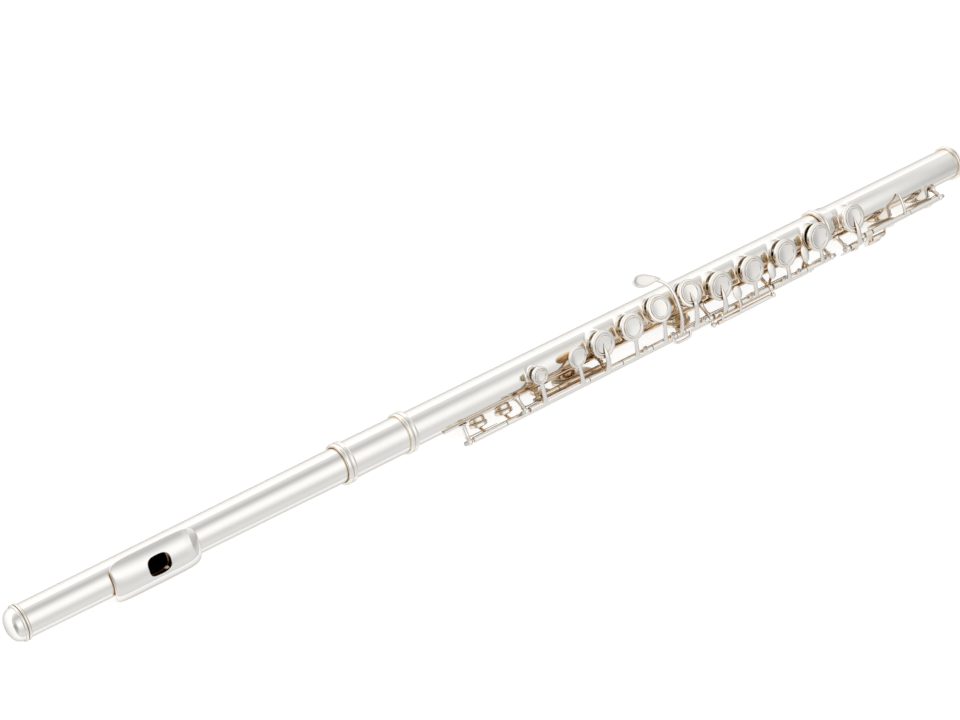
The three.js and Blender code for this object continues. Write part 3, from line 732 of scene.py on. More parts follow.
def chimney(hole):
    """A drawn tone hole: a fillet that leaves the tube, a thin wall and a rolled rim."""
    angle, radius, _ = HOLES[hole]
    wall = radius + CHIMNEY_WALL
    around = circle(72)

    def saddle(reach, tube_radius, lift=0.0):
        row = []
        for c, s in around:
            across = min(abs(reach * s), tube_radius - 0.05)
            height = math.sqrt(tube_radius ** 2 - across ** 2) + lift
            row.append(Vector((reach * c, reach * s, height)))
        return row

    def level(reach, height):
        return [Vector((reach * c, reach * s, height)) for c, s in around]

    rows = []
    for k in range(7):
        turn = math.radians(15 * k)
        reach = wall + CHIMNEY_FILLET * (1 - math.sin(turn))
        lift = 0.8 * CHIMNEY_FILLET * (1 - math.cos(turn)) + 0.01
        rows.append(saddle(reach, BODY_RADIUS, lift))
    roll = 0.55 * CHIMNEY_RIM
    for k in range(9):
        turn = math.radians(-90 + 22.5 * k)
        reach = wall + roll * (1 + math.cos(turn)) - 0.1
        rows.append(level(reach, CHIMNEY_TOP - CHIMNEY_RIM * (1 - math.sin(turn))))
    rows.append(level(radius + 0.1, CHIMNEY_TOP))
    rows.append(level(radius, CHIMNEY_TOP - 0.15))
    rows.append(saddle(radius, BORE_RADIUS))
    rows.append(saddle(wall + CHIMNEY_FILLET, BODY_RADIUS, -0.25))
    return skin(rows, wrap=True).moved(swung(station(hole), angle))


def hole_cutter(hole):
    angle, radius, _ = HOLES[hole]
    reach = radius + CHIMNEY_WALL + 0.6
    profile = [(0, 5.0), (reach, 5.0), (reach, 14.0), (0, 14.0)]
    return lathe(profile, swung(station(hole), angle), 48)


def holed_tube(name, profile, holes, body, replaced):
    """A tube cut open at its tone holes, with the drawn chimneys set over the openings."""
    on_top = [hole_cutter(hole) for hole in holes if HOLES[hole][0] == 0]
    beside = [hole_cutter(hole) for hole in holes if HOLES[hole][0] != 0]
    cutters = [together(*group) for group in (on_top, beside)]
    shell = carved(axis_lathe(profile, 128), cutters)
    make(name, together(shell, *[chimney(hole) for hole in holes]), SILVER, body, [replaced])


BODY_HOLES = [hole for hole in HOLES if not hole.startswith("foot_")]
FOOT_HOLES = [hole for hole in HOLES if hole.startswith("foot_")]


def body_joint():
    start, end = span("body_tube")
    tenon = span("foot_tube")[0] - 0.4
    profile = [
        (BORE_RADIUS, start), (BODY_RADIUS, start), (BODY_RADIUS, tenon - 0.1),
        (BODY_RADIUS - 0.1, tenon), (TENON_RADIUS, tenon), (TENON_RADIUS, end - 0.2),
        (TENON_RADIUS - 0.2, end), (TENON_BORE, end), (TENON_BORE, tenon), (BORE_RADIUS, tenon - 2),
    ]
    holed_tube("body_tube_silver", profile, BODY_HOLES, "body", "body_tube")


def foot_joint():
    start, end = span("foot_tube")
    socket = start + 11.2
    ring = 4.6
    end_ring = 3.4
    socket_bore = TENON_RADIUS + 0.3
    profile = [(socket_bore, start)]
    profile += bead_ring(start, start + ring, SOCKET_RADIUS, RING_RADIUS)
    profile += [(SOCKET_RADIUS, socket - 0.4), (SOCKET_RADIUS - 0.15, socket)]
    profile += [(BODY_RADIUS, socket + 0.1)]
    profile += bead_ring(end - end_ring, end, BODY_RADIUS, RING_RADIUS - 0.5)
    profile += [(BORE_RADIUS, end), (BORE_RADIUS, socket), (socket_bore, socket)]
    holed_tube("foot_tube_silver", profile, FOOT_HOLES, "foot", "foot_tube")


def stopper():
    start, end = span("cork_stopper")
    back = end - 1.0
    cork = axis_lathe([(0, start), (8.2, start), (8.5, start + 0.5), (8.5, back), (0, back)])
    make("cork_stopper_cork", cork, CORK, "head", ["cork_stopper"])
    back = end - 0.9
    face = axis_lathe([(0, back), (8.3, back), (8.35, end - 0.6), (8.2, end), (0, end)])
    make("stopper_face_plate", face, SILVER, "head")
    low, high = span("stopper_screw")
    pitch, crest, root = 0.5, 1.6, 1.35
    thread = [(0, low)]
    for i in range(int((high - low) / pitch)):
        thread += [(crest, low + pitch * i + 0.05), (root, low + pitch * i + 0.3)]
    thread += [(crest, high - 0.05), (0, high)]
    screw = axis_lathe(thread, 24)
    make("stopper_screw_thread", screw, STEEL, "head", ["stopper_screw"])


# ---- ribs, posts and steels ---------------------------------------------------------------


def on_circle(angle, reach):
    return -math.sin(math.radians(angle)) * reach, math.cos(math.radians(angle)) * reach


def strap(start, end, angle, half=6.4):
    """A rib: a thin strip that follows the tube, with round ends and eased edges."""
    section = [(-1.0, 0), (-1.0, 0.75), (-0.93, 1.0), (-0.5, 1.0), (0.0, 1.0), (0.5, 1.0)]
    section += [(0.93, 1.0), (1.0, 0.75), (1.0, 0), (0.5, 0), (0.0, 0), (-0.5, 0)]
    length = math.radians(half) * RIB_OUTER
    narrowest = 0.12
    ends = []
    for k in range(7):
        turn = math.radians(15 * k)
        ends.append((length * (1 - math.cos(turn)), max(math.sin(turn), narrowest)))
    places = [(start + inset, share) for inset, share in ends]
    places += [(end - inset, share) for inset, share in reversed(ends)]
    rows = []
    for x, share in places:
        row = []
        for across, up in section:
            reach = RIB_INNER + (RIB_OUTER - RIB_INNER) * up
            y, z = on_circle(angle + across * share * half, reach)
            row.append(Vector((x, y, z)))
        rows.append(row)
    return skin(rows)


def post_shape(x, line, foot_angle):
    """A turned post: a foot on the rib, a waisted stem, a collar and a ball on the rod line."""
    base = Vector((x, *on_circle(foot_angle, RIB_OUTER - 0.15)))
    top = Vector((x, *line))
    axis = top - base
    length = axis.length
    profile = [
        (0, 0), (2.5, 0), (2.5, 0.3), (2.1, 0.6), (1.6, 1.1), (1.3, 2.0), (1.15, length * 0.5),
        (1.2, length - 3.6), (1.35, length - 3.1), (1.65, length - 2.85), (1.7, length - 2.6),
        (1.45, length - 2.35), (1.1, length - 2.1),
    ]
    profile += arc((0, length), POST_BALL, -58, 90, 14)[:-1]
    profile += [(0, length + POST_BALL)]
    matrix = Matrix.Translation(base) @ axis.to_track_quat("Z", "Y").to_matrix().to_4x4()
    return lathe(profile, matrix, 36)


def slotted_head(matrix, radius, depth):
    """A screw head with a slot across it, standing on the local XY plane."""
    slot, bevel = 0.16, 0.15
    shape = Shape()
    flat = math.sqrt(radius ** 2 - slot ** 2)
    for side in (-1, 1):
        half = [(slot * side, -flat)]
        for k in range(17):
            angle = math.radians(-90 + 180 * k / 16)
            half.append((max(radius * math.cos(angle), slot) * side, radius * math.sin(angle)))
        half.append((slot * side, flat))
        steps = ((1.0, 0.0), (1.0, depth - bevel), (0.93, depth))
        shape.add(skin([[Vector((a * inset, b * inset, h)) for a, b in half] for inset, h in steps]))
    core = radius * 0.98
    floor = depth - 0.35
    shape.add(lathe([(0, -0.1), (core, -0.1), (core, floor), (0, floor)], Matrix.Identity(4), 24))
    return shape.moved(matrix)


# Where each post stands along the flute, and the angles of the ribs that carry them.
POSTS = {
    "trill_start": 194, "main_start": 232, "main_middle": 372.6, "main_low": 421.5,
    "trill_end": 457.7, "main_end": 473.9, "thumb_start": 246.4, "thumb_end": 294.6,
    "foot_start": 488.2, "foot_middle": 502.9, "foot_end": 574,
}
UPPER_ANGLE = 51.5
LOWER_ANGLE = 60
FOOT_ANGLE = 62


def side_bracket(x):
    """The arm that carries the side lever's steel outside the main line."""
    inner, outer = Vector((x, *MAIN)), Vector((x, *SIDE))
    arm = swept([
        (*inner, 1.9, 1.9), (*inner.lerp(outer, 0.5), 1.5, 1.5), (*outer, 1.9, 1.9),
    ], (1, 0, 0), power=2.0, count=20)
    knob = 1.7
    ball = [(0, -knob)] + arc((0, 0), knob, -80, 80, 16) + [(0, knob)]
    return together(arm, lathe(ball, on_line(SIDE, x), 32))


def ribs():
    upper = together(
        strap(*span("upper_rib"), UPPER_ANGLE),
        post_shape(POSTS["trill_start"], TRILL, UPPER_ANGLE),
        post_shape(POSTS["main_start"], MAIN, UPPER_ANGLE),
        post_shape(POSTS["main_middle"], MAIN, UPPER_ANGLE),
        side_bracket(POSTS["main_middle"]),
    )
    make("upper_rib_and_posts", upper, SILVER, "body", ["upper_rib"])
    lower = together(
        strap(span("lower_rib")[0], span("foot_tube")[0] - 0.8, LOWER_ANGLE),
        post_shape(POSTS["main_low"], MAIN, LOWER_ANGLE),
        side_bracket(POSTS["main_low"]),
        post_shape(POSTS["trill_end"], TRILL, LOWER_ANGLE),
        post_shape(POSTS["main_end"], MAIN, LOWER_ANGLE),
    )
    make("lower_rib_and_posts", lower, SILVER, "body", ["lower_rib"])
    foot = together(
        strap(*span("foot_rib"), FOOT_ANGLE),
        post_shape(POSTS["foot_start"], MAIN, FOOT_ANGLE),
        post_shape(POSTS["foot_middle"], MAIN, FOOT_ANGLE),
        post_shape(POSTS["foot_middle"], LOW, FOOT_ANGLE),
    )
    make("foot_rib_and_posts", foot, SILVER, "foot", ["foot_rib"])
    loose = [
        ("thumb_post_upper", POSTS["thumb_start"], THUMB, "body"),
        ("thumb_post_lower", POSTS["thumb_end"], THUMB, "body"),
        ("foot_end_post", POSTS["foot_end"], LOW, "foot"),
    ]
    for name, x, line, body in loose:
        angle = math.degrees(math.atan2(-line[0], line[1]))
        profile = [(0, 9.9), (2.2, 9.9), (2.2, RIB_OUTER - 0.3), (1.9, RIB_OUTER), (0, RIB_OUTER)]
        foot_plate = lathe(profile, swung(x, angle), 36)
        post = together(foot_plate, post_shape(x, line, angle))
        make(name + "_silver", post, SILVER, body, [name])


def steels():
    for name, line, radius, body in (
        ("left_hand_steel", MAIN, STEEL_RADIUS, "body"),
        ("right_hand_steel", MAIN, STEEL_RADIUS, "body"),
        ("thumb_steel", THUMB, STEEL_RADIUS, "body"),
        ("side_lever_steel", SIDE, SIDE_STEEL_RADIUS, "body"),
        ("foot_d_sharp_steel", MAIN, STEEL_RADIUS, "foot"),
    ):
        steel = rod(*span(name), radius, line, 0.1, 24)
        make(name + "_rod", steel, STEEL, body, [name])


def pivot_screws():
    """The slotted ends of the steels, on the outer face of each end post."""
    ends = [
        ("trill_start", TRILL, -1, "body"), ("trill_end", TRILL, 1, "body"),
        ("main_start", MAIN, -1, "body"), ("main_end", MAIN, 1, "body"),
        ("thumb_start", THUMB, -1, "body"), ("thumb_end", THUMB, 1, "body"),
        ("foot_start", MAIN, -1, "foot"), ("foot_end", LOW, 1, "foot"),
    ]
    for post, (y, z), outward, body in ends:
        x = POSTS[post] + outward * (POST_BALL - 0.35)
        facing = Matrix.Translation((x, y, z)) @ Matrix.Rotation(math.radians(90 * outward), 4, "Y")
        screw = slotted_head(facing, 1.2, 1.6)
        make(f"pivot_screw_{post}", screw, STEEL, body)


# ---- keys ---------------------------------------------------------------------------------


def cup_shape(hole):
    """A padded cup: skirt, a wide rim, a groove, a raised ring and a shallow dish."""
    angle, _, radius = HOLES[hole]
    inside = radius - CUP_WALL
    rim_top = CUP_TOP - 0.42
    dish_top = CUP_TOP - 0.62
    groove = radius * 0.80
    ring = radius * 0.70
    bead = radius * 0.05
    profile = [(0, CUP_FLOOR), (inside, CUP_FLOOR), (inside, CUP_RIM + 0.1)]
    profile += [(inside + 0.1, CUP_RIM), (radius - 0.1, CUP_RIM), (radius, CUP_RIM + 0.1)]
    profile += [(radius, CUP_RIM + 0.9)]
    profile += arc((radius - 0.5, rim_top - 0.55), 0.5, 0, 80, 8)
    profile += [(radius - 0.9, rim_top), (groove + 0.25, rim_top + 0.04), (groove, rim_top - 0.12)]
    profile += [(groove - 0.18, rim_top - 0.2), (ring + bead + 0.22, rim_top - 0.1)]
    profile += arc((ring, CUP_TOP - bead - 0.05), bead + 0.05, 20, 160, 10)
    dish, dish_depth = ring - bead - 0.35, 0.26
    for k in range(9):
        share = k / 8
        drop = dish_depth * math.sin(math.pi / 2 * share)
        profile.append((dish * (1 - share), dish_top - drop))
    return lathe(profile, swung(station(hole), angle), 80)


def pad_shape(hole):
    angle, _, cup = HOLES[hole]
    radius = cup - CUP_WALL - 0.12
    profile = [(0, PAD_FACE), (radius - 1.0, PAD_FACE), (radius - 0.45, PAD_FACE + 0.08)]
    profile += [(radius - 0.12, PAD_FACE + 0.35), (radius, PAD_FACE + 0.75)]
    profile += [(radius, PAD_TOP), (0, PAD_TOP)]
    return lathe(profile, swung(station(hole), angle), 64)


def about_axis(y, z, angle):
    """A (y, z) point swung about the bore axis by a hole's angle."""
    turned = Matrix.Rotation(math.radians(angle), 2) @ Vector((y, z))
    return turned.x, turned.y


def plain_arm(x, cup_radius, angle=0):
    """An arm from the main line to the side of a cup."""
    y, z = MAIN
    return swept([
        (x, y - 0.4, z + 0.9, 4.4, 1.8),
        (x, y + 1.8, z + 1.7, 3.4, 1.5),
        (x, y + 4.6, z + 2.1, 2.7, 1.3),
        (x, *about_axis(-cup_radius - 0.2, z + 2.0, angle), 2.8, 1.25),
        (x, *about_axis(-cup_radius + 0.7, z + 1.8, angle), 3.4, 1.1),
    ], power=2.8)


def pointed_arm(x, angle=0):
    """An arm that runs over the cup and ends in a point at its centre."""
    y, z = MAIN
    return swept([
        (x, y - 0.5, z + 1.0, 4.6, 1.8),
        (x, y + 1.8, z + 2.4, 4.0, 1.6),
        (x, y + 5.2, z + 3.5, 3.5, 1.35),
        (x, *about_axis(-7.4, z + 3.8, angle), 3.0, 1.15),
        (x, *about_axis(-4.4, z + 3.35, angle), 2.2, 1.0),
        (x, *about_axis(-1.6, z + 2.85, angle), 1.1, 0.8),
        (x, *about_axis(0.5, z + 2.65, angle), 0.3, 0.5),
    ], power=2.6)


# Where each key carries an adjusting lug on its hinge tube.
LUGS = {
    "a_key": [319.5], "g_key": [341.0, 365.5], "f_key": [404.0], "e_key": [431.5, 444.0],
    "d_key": [469.3],
}


def lug(x):
    """A short tab on the inner side of the main line, which holds an adjusting screw."""
    y, z = MAIN
    return swept([
        (x, y + 0.2, z + 1.2, 3.0, 1.6), (x, y + 1.6, z + 2.1, 3.0, 1.4),
        (x, y + 3.4, z + 2.3, 2.8, 1.3),
    ], power=3.0, steps=5)


def add_lugs(body, turn):
    y, z = MAIN
    for index, x in enumerate(LUGS.get(body, [])):
        make(f"{body}_lug_{index + 1}", lug(x).moved(turn), SILVER_SATIN, body)
        screw = slotted_head(turn @ Matrix.Translation((x, y + 3.0, z + 2.7)), 1.05, 1.3)
        make(f"{body}_adjusting_screw_{index + 1}", screw, STEEL, body)


def add_key(body, shape, holes, line, degrees):
    """A key's metal and its pads, drawn closed and then turned to where they stand at rest."""
    turn = turned_open(line, degrees)
    make(body + "_silver", shape.moved(turn), SILVER_SATIN, body, [body])
    add_lugs(body, turn)
    for hole in holes:
        node = hole + "_pad"
        pad = pad_shape(hole).moved(turn)
        make(node + "_skin", pad, PAD_SKIN, body, [node])


# The keys with one cup on the main line: body, hole, ends of the hinge tube, and whether the arm
# runs over the cup to a point.
MAIN_KEYS = [
    ("b_flat_key", "b_flat", (278, 302.7), True),
    ("a_key", "a", (303, 325.7), False),
    ("f_sharp_key", "f_sharp", (375, 396.7), True),
    ("f_key", "f", (397, 419.2), False),
    ("e_key", "e", (423.8, 451.7), False),
    ("d_key", "d", (452, 471.6), False),
]


def main_keys():
    for body, hole, tube, pointed in MAIN_KEYS:
        x = station(hole)
        angle, _, cup = HOLES[hole]
        arm = pointed_arm(x, angle) if pointed else plain_arm(x, cup, angle)
        shape = together(cup_shape(hole), hinge_tube(*tube), arm)
        add_key(body, shape, [hole], MAIN, OPEN_MAIN)


def c_key():
    x = 272.5
    profile = [(0, 13.9), (5.9, 13.9)] + arc((5.9, 14.4), 0.5, -90, 90, 8)
    profile += [(5.6, 15.05)] + arc((5.2, 15.1), 0.35, 20, 160, 6)
    profile += [(4.6, 14.95), (3.0, 14.7), (1.5, 14.6), (0, 14.57)]
    dish = lathe(profile, swung(x, 0), 64)
    shape = together(
        cup_shape("c"),
        plain_arm(station("c"), HOLES["c"][2]),
        dish,
        plain_arm(x, 5.8),
        hinge_tube(234.5, 277.7),
    )
    add_key("c_key", shape, ["c"], MAIN, OPEN_MAIN)


def g_key():
    y, z = MAIN
    bridge = wire([
        (341.2, y - 0.4, z + 1.2), (342.2, y - 2.9, z + 1.9), (344.6, y - 3.9, z + 1.9),
        (351.6, y - 3.9, z + 1.9), (354.0, y - 2.9, z + 1.9), (355.0, y - 0.4, z + 1.2),
    ], 0.85)
    shape = together(
        cup_shape("g_upper"),
        plain_arm(station("g_upper"), HOLES["g_upper"][2], HOLES["g_upper"][0]),
        hinge_tube(326, 344.7),
        bridge,
        hinge_tube(351.6, 370.3),
        cup_shape("g_lower"),
        pointed_arm(station("g_lower"), HOLES["g_lower"][0]),
    )
    add_key("g_key", shape, ["g_upper", "g_lower"], MAIN, OPEN_MAIN)


# Section of the G sharp spoon, as BUTTON's: a dished middle inside a raised edge.
SPOON = [
    (0, 0.1), (0.45, 0.12), (0.7, 0.2), (0.84, 0.34), (0.9, 0.62), (0.95, 0.72), (1.0, 0.6),
    (1.02, 0.3), (1.0, 0.0), (0.9, -0.25), (0.6, -0.5), (0, -0.62),
]


def g_sharp_key():
    over = swept([
        (348.1, -16.7, 13.6, 3.2, 1.8), (348.5, -13.3, 15.7, 2.6, 1.5), (349.4, -6, 17.2, 2.2, 1.4),
        (349.4, 4, 17.0, 2.1, 1.35), (348.2, 12.2, 15.4, 2.1, 1.3), (345.0, 16.6, 14.1, 2.0, 1.2),
        (341.4, 19.2, 13.5, 2.2, 1.1),
    ], steps=8)
    down = swept([
        (348.2, -16.3, 12.0, 2.4, 1.6), (349.5, -14.4, 8.8, 2.1, 1.5), (352.2, -15.6, 6.0, 2.1, 1.4),
        (355.8, -16.6, 2.8, 2.1, 1.3), (360.0, -15.9, -3.3, 1.0, 0.9),
    ], (0, -1, 0), steps=8)
    lean = Matrix.Rotation(math.radians(-9), 4, "X") @ Matrix.Rotation(math.radians(-14), 4, "Z")
    spoon = plate(teardrop(19.6, 9.4), SPOON, Matrix.Translation((335.2, 21.2, 13.3)) @ lean)
    tube = hinge_tube(345, 351.3)
    shape = together(tube, over, down, spoon, cup_shape("g_sharp"))
    add_key("g_sharp_key", shape, ["g_sharp"], MAIN, 0)


def trill_cup_arm(hole):
    x = station(hole)
    return swept([
        (x, -19.3, 7.6, 2.8, 1.6), (x, -18.4, 4.9, 2.3, 1.3), (x, -16.9, 2.0, 1.9, 1.1),
        (x, -15.7, -0.6, 0.8, 0.8),
    ], (0, -1, 0))


def trill_touch(x):
    arm_x = x + 0.4
    arm = swept([
        (arm_x, -18.8, 8.5, 2.6, 1.5), (arm_x, -14.8, 9.1, 2.1, 1.3), (arm_x, -11.6, 11.4, 1.9, 1.2),
        (arm_x, -7.8, 13.9, 1.9, 1.0),
    ])
    place = Matrix.Translation((x, -6.8, 14.7))
    return together(arm, plate(superellipse(2.9, 5.3, 2.2), BUTTON, place, bow=0.012))


def trill_keys():
    tube = (220, 428)
    d_trill = together(
        hinge_tube(*tube, TRILL, TRILL_TUBE_RADIUS),
        cup_shape("d_trill"),
        trill_cup_arm("d_trill"),
        trill_touch(424.6),
    )
    add_key("d_trill_key", d_trill, ["d_trill"], TRILL, 0)
    d_sharp = together(
        rod(POSTS["trill_start"] - 1, POSTS["trill_end"] + 1, STEEL_RADIUS, TRILL),
        rod(196.6, tube[0] - 0.25, TRILL_TUBE_RADIUS, TRILL),
        rod(tube[1] + 0.25, POSTS["trill_end"] - POST_BALL - 0.2, TRILL_TUBE_RADIUS, TRILL),
        cup_shape("d_sharp_trill"),
        trill_cup_arm("d_sharp_trill"),
        trill_touch(452.8),
    )
    add_key("d_sharp_trill_key", d_sharp, ["d_sharp_trill"], TRILL, 0)


def thumb_plate(start, end):
    outline = superellipse((end - start) / 2, 7.6, 4.0)
    place = swung((start + end) / 2, HOLES["thumb_b"][0]) @ Matrix.Translation((0, 1.1, 14.6))
    return plate(outline, BUTTON, place, bow=0.006)


def thumb_keys():
    b_tube = hinge_tube(261, 292.3, THUMB)
    b_key = together(b_tube, cup_shape("thumb_b"), thumb_plate(280.4, 292))
    add_key("thumb_b_key", b_key, ["thumb_b"], THUMB, OPEN_THUMB)
    flat_tube = hinge_tube(248.7, 260.7, THUMB)
    flat = together(flat_tube, thumb_plate(250, 260.5))
    add_key("thumb_b_flat_lever", flat, [], THUMB, OPEN_THUMB)


def side_lever():
    y, z = SIDE
    touch_x, link_x = 393.5, 379
    arm = swept([
        (touch_x, y + 0.2, z + 0.9, 2.4, 1.3), (touch_x, y + 3.2, z + 2.8, 1.9, 1.1),
        (touch_x, y + 9.2, z + 3.3, 2.0, 1.0),
    ], count=20)
    place = Matrix.Translation((touch_x, -9, 16.85))
    touch = plate(superellipse(3.3, 4.3, 2.3), BUTTON, place, bow=0.01)
    link = wire([
        (link_x, y + 0.3, z + 0.9), (link_x, y + 2.2, z + 2.2), (link_x, y + 4.3, z + 2.1),
    ], 0.75)
    shape = together(hinge_tube(376, 418.8, SIDE, 1.4, 0.8), arm, touch, link)
    add_key("b_flat_side_lever", shape, [], SIDE, 0)


def foot_d_sharp_key():
    place = swung(493.4, 68) @ Matrix.Translation((0, 0, 21.6))
    finger = plate(superellipse(6.8, 4.6, 2.6), BUTTON, place)
    y, z = MAIN
    arm = swept([
        (495, y - 0.4, z + 1.0, 3.2, 1.6), (494.6, y - 2.6, z + 0.3, 2.8, 1.3),
        (494, y - 3.7, z - 2.9, 2.6, 1.1),
    ], (-0.2, -1, 0.2), count=20)
    shape = together(
        cup_shape("foot_d_sharp"),
        hinge_tube(490.5, 500.5),
        finger,
        arm,
        pointed_arm(station("foot_d_sharp")),
    )
    add_key("foot_d_sharp_key", shape, ["foot_d_sharp"], MAIN, 0)


def low_cup_arm(hole):
    x = station(hole)
    return swept([
        (x, -15.4, 11.0, 3.4, 1.6), (x, -16.9, 8.2, 2.9, 1.4), (x, -16.9, 4.0, 2.2, 1.2),
        (x, -15.7, -0.8, 0.7, 0.8),
    ], (0, -1, 0))


ROLLER_LENGTH = 10.4
# Where each roller starts along the flute, and the (y, z) of its pin with the key closed.
SHARP_ROLLER = (512.9, (-19.4, 7.4))
C_ROLLER = (511.7, (-21.1, 3.2))


def roller_shape(start, line):
    """A roller: waisted ends, bored for its pin."""
    end = start + ROLLER_LENGTH
    profile = [(0.8, start), (1.35, start), (1.62, start + 0.25), (1.7, start + 0.7), (1.7, end - 0.7)]
    profile += [(1.62, end - 0.25), (1.35, end), (0.8, end)]
    return lathe(profile, on_line(line), 36)


def low_keys():
    turn = turned_open(LOW, OPEN_LOW)
    start, (y, z) = SHARP_ROLLER
    near, far = start - 0.3, start + ROLLER_LENGTH + 0.3
    lugs = [
        swept([
            (x, y, z, 2.2, 1.3), (x, y + 2.2, z + 1.5, 2.0, 1.3), (x, y + 4.3, z + 3.3, 2.2, 1.5),
        ], (1, 0, 0), count=20)
        for x in (near - 0.7, far + 0.7)
    ]
    kicker = swept([
        (541, -13.6, 12.9, 2.2, 1.6), (541, -9, 14.2, 1.9, 1.4), (541, -3.6, 14.3, 1.8, 1.3),
        (541, -0.8, 13.8, 1.7, 1.2),
    ], power=2.2)
    c_sharp = together(
        hinge_tube(511.8, 545.6, LOW, TRILL_TUBE_RADIUS),
        cup_shape("foot_c_sharp"),
        low_cup_arm("foot_c_sharp"),
        kicker,
        *lugs,
        rod(near - 0.9, far + 0.9, ROLLER_PIN_RADIUS, (y, z), 0.05, 20),
    )
    add_key("foot_c_sharp_key", c_sharp, ["foot_c_sharp"], LOW, OPEN_LOW)
    c_start, (cy, cz) = C_ROLLER
    pin_end = c_start + ROLLER_LENGTH + 0.3
    knob_profile = [(0, 0), (0.9, 0.05)] + arc((0, 0.9), 1.05, -40, 80, 10) + [(0, 1.95)]
    knob = lathe(knob_profile, on_line((cy, cz), pin_end), 28)
    low_c = together(
        rod(POSTS["foot_middle"], POSTS["foot_end"] + 1, STEEL_RADIUS, LOW),
        rod(505.3, 510.8, TRILL_TUBE_RADIUS, LOW),
        rod(545.9, 571.6, TRILL_TUBE_RADIUS, LOW),
        cup_shape("foot_c"),
        low_cup_arm("foot_c"),
        swept([
            (508, -15.0, 11.2, 2.4, 1.8), (508, -18.6, 8.7, 2.2, 1.6), (508.6, -20.9, 5.6, 2.2, 1.6),
            (510.4, cy, cz, 2.0, 1.6),
        ], (1, 0, 0)),
        rod(509.8, pin_end + 0.2, ROLLER_PIN_RADIUS, (cy, cz), 0.05, 20),
        knob,
    )
    add_key("foot_c_key", low_c, ["foot_c"], LOW, OPEN_LOW)
    for body, (x, line) in (("foot_c_sharp_roller", SHARP_ROLLER), ("foot_c_roller", C_ROLLER)):
        make(body + "_silver", roller_shape(x, line).moved(turn), SILVER, body, [body])


def springs():
    """Needle springs: each runs from a post along its rod to a hook on the key's tube."""
    runs = [
        ("trill_start", TRILL, 1, 21, "body"), ("main_start", MAIN, 1, 20, "body"),
        ("main_middle", MAIN, -1, 24, "body"), ("main_middle", MAIN, 1, 17, "body"),
        ("main_low", MAIN, -1, 18, "body"), ("main_low", MAIN, 1, 20, "body"),
        ("main_end", MAIN, -1, 15, "body"), ("trill_end", TRILL, -1, 17, "body"),
        ("foot_end", LOW, -1, 22, "foot"),
    ]
    for index, (post, (y, z), way, length, body) in enumerate(runs):
        x = POSTS[post]
        inward = Vector((0, -y, -z)).normalized()
        base = Vector((x + way * 0.5, y, z)) + inward * 2.6
        tip = Vector((x + way * length, y, z)) + inward * 2.35
        needle = swept([
            (*base, 0.62, 0.62), (*base.lerp(tip, 0.5), 0.5, 0.5), (*tip, 0.28, 0.28),
        ], power=2.0, count=12)
        make(f"needle_spring_{index + 1}", needle, SPRING, body)


# ---- camera, light and floor --------------------------------------------------------------


CAMERA_PLACE = Vector((-388.785, 306.474, 1003.056))
CAMERA_FORWARD = Vector((0.50460, -0.23869, -0.82970)).normalized()
CAMERA_UP = Vector((0.37673, 0.92558, -0.03716))


def camera():
    """Looks down across the flute from beyond its far side, from the head end."""
    data = bpy.data.cameras.new("camera")
    data.sensor_width = 36
    data.lens = 82.36
    data.clip_start = 0.05
    data.clip_end = 50
    rig = new_object("camera", data)
    right = CAMERA_FORWARD.cross(CAMERA_UP).normalized()
    upward = right.cross(CAMERA_FORWARD)
    turn = Matrix((right, upward, -CAMERA_FORWARD)).transposed().to_4x4()
    rig.matrix_world = Matrix.Translation(ORIGIN + CAMERA_PLACE * MM) @ turn
    bpy.context.scene.camera = rig


SKY_STRENGTH = 1.25

# Light around the flute's length, at (degrees from straight up, brightness).
OVER_HEAD = [
    (-180, 0.95), (-96, 1.0), (-78, 0.82), (-60, 0.58), (-46, 0.60), (-26, 1.06), (-8, 1.14),
    (8, 1.08), (26, 0.78), (42, 0.72), (60, 0.84), (90, 0.78), (180, 0.75),
]
OVER_KEYS = [
    (-180, 0.95), (-96, 0.96), (-78, 0.84), (-60, 0.70), (-46, 0.72), (-26, 0.98), (-8, 1.06),
    (8, 1.04), (26, 0.86), (42, 0.78), (60, 0.80), (90, 0.76), (180, 0.75),
]
BEYOND_FOOT = [
    (-180, 0.9), (-58, 0.95), (-38, 0.78), (-16, 0.58), (14, 0.55), (38, 0.46), (60, 0.72), (180, 0.8),
]
BEHIND_CROWN = [(-180, 0.75), (-60, 0.7), (-20, 0.5), (20, 0.3), (60, 0.5), (180, 0.7)]


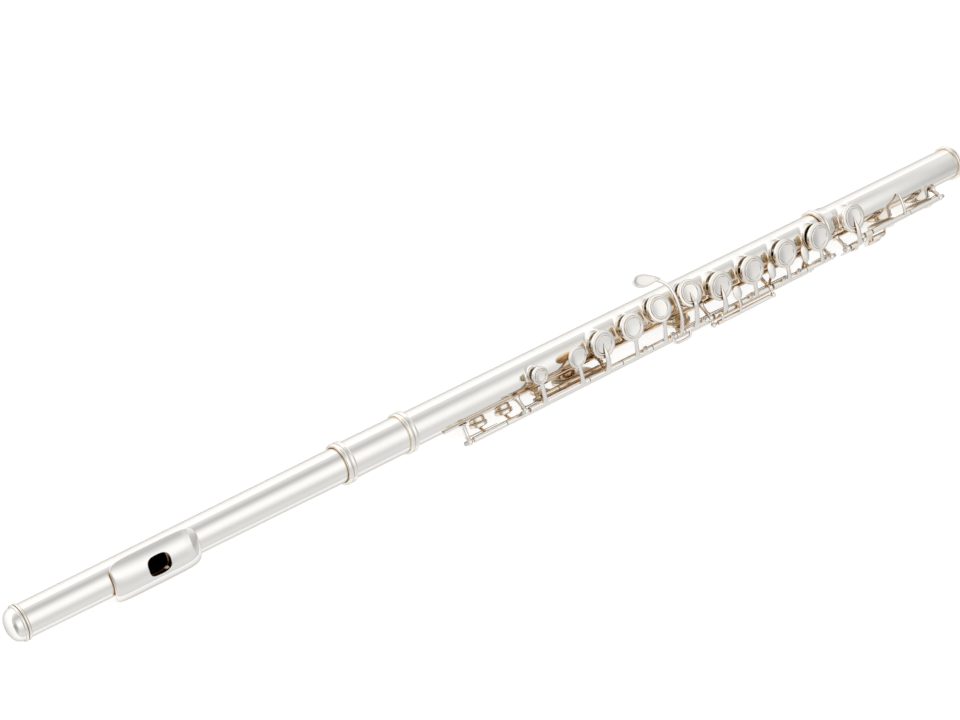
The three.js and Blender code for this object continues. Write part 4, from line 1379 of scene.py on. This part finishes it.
def sky(world):
    """A soft white studio all round: a bright ceiling panel along the flute, greyer gaps beside it,
    and a greyer wall beyond the foot."""
    graph = Graph(world.node_tree, "Generated")
    toward = graph.axes()
    away = graph.maths("MULTIPLY", toward["Y"], -1.0)
    angle = graph.maths("ARCTAN2", away, toward["Z"])
    turn = graph.maths("MULTIPLY_ADD", angle, 1 / (2 * math.pi), 0.5)

    def around(levels):
        stops = []
        for degrees, level in levels:
            share = level / SKY_STRENGTH
            stops.append(((degrees + 180) / 360, (share, share * 0.997, share * 0.99)))
        return graph.ramp(turn, stops, "B_SPLINE")

    def blend(first, second, low, high):
        share = graph.scaled(toward["X"], 0.0, 1.0, low, high, "SMOOTHSTEP")
        return graph.mixed(share, first, second)

    over = blend(around(OVER_HEAD), around(OVER_KEYS), 0.42, 0.54)
    ahead = blend(over, around(BEYOND_FOOT), 0.645, 0.70)
    color = blend(around(BEHIND_CROWN), ahead, -0.9, -0.6)
    background = world.node_tree.nodes["Background"].inputs
    graph.link(color, background["Color"])
    background["Strength"].default_value = SKY_STRENGTH


FLOOR_HALF = 4.0
NEAR_GLOW = 0.57
FAR_GLOW = 0.66
GLOW_SPAN = (-0.01, 0.02)


def studio():
    """A white room: a pale floor that glows with painted light, a little brighter on the far side, and
    a soft bright sky.
    """
    low = cad_box[0][2]
    corners = [(x * FLOOR_HALF, y * FLOOR_HALF, low) for x, y in ((-1, -1), (1, -1), (1, 1), (-1, 1))]
    floor_mesh = bpy.data.meshes.new("floor")
    floor_mesh.from_pydata(corners, [], [(0, 1, 2, 3)])
    floor = new_object("floor", floor_mesh)
    material, graph, sockets = new_material("pale_floor")
    sockets["Roughness"].default_value = 0.9
    patches = graph.noise(graph.place, 6.0)
    tones = [(0.2, (0.59, 0.59, 0.59)), (0.8, (0.61, 0.61, 0.61))]
    graph.link(graph.ramp(patches, tones), sockets["Base Color"])
    sockets["Emission Color"].default_value = (1, 1, 1, 1)
    # Painted light: the floor glows, less on the near side than on the far side.
    glow = graph.scaled(graph.axes()["Y"], NEAR_GLOW, FAR_GLOW, *GLOW_SPAN)
    graph.link(glow, sockets["Emission Strength"])
    floor_mesh.materials.append(material)

    world = bpy.data.worlds.new("studio")
    bpy.context.scene.world = world
    world.use_nodes = True
    sky(world)
    bpy.context.scene.view_settings.view_transform = "Standard"


# ---- build --------------------------------------------------------------------------------

camera()
head_joint()
lip_plate()
embouchure_riser()
crown()
stopper()
barrel()
body_joint()
foot_joint()
ribs()
steels()
pivot_screws()
main_keys()
c_key()
g_key()
g_sharp_key()
trill_keys()
thumb_keys()
side_lever()
foot_d_sharp_key()
low_keys()
springs()
studio()
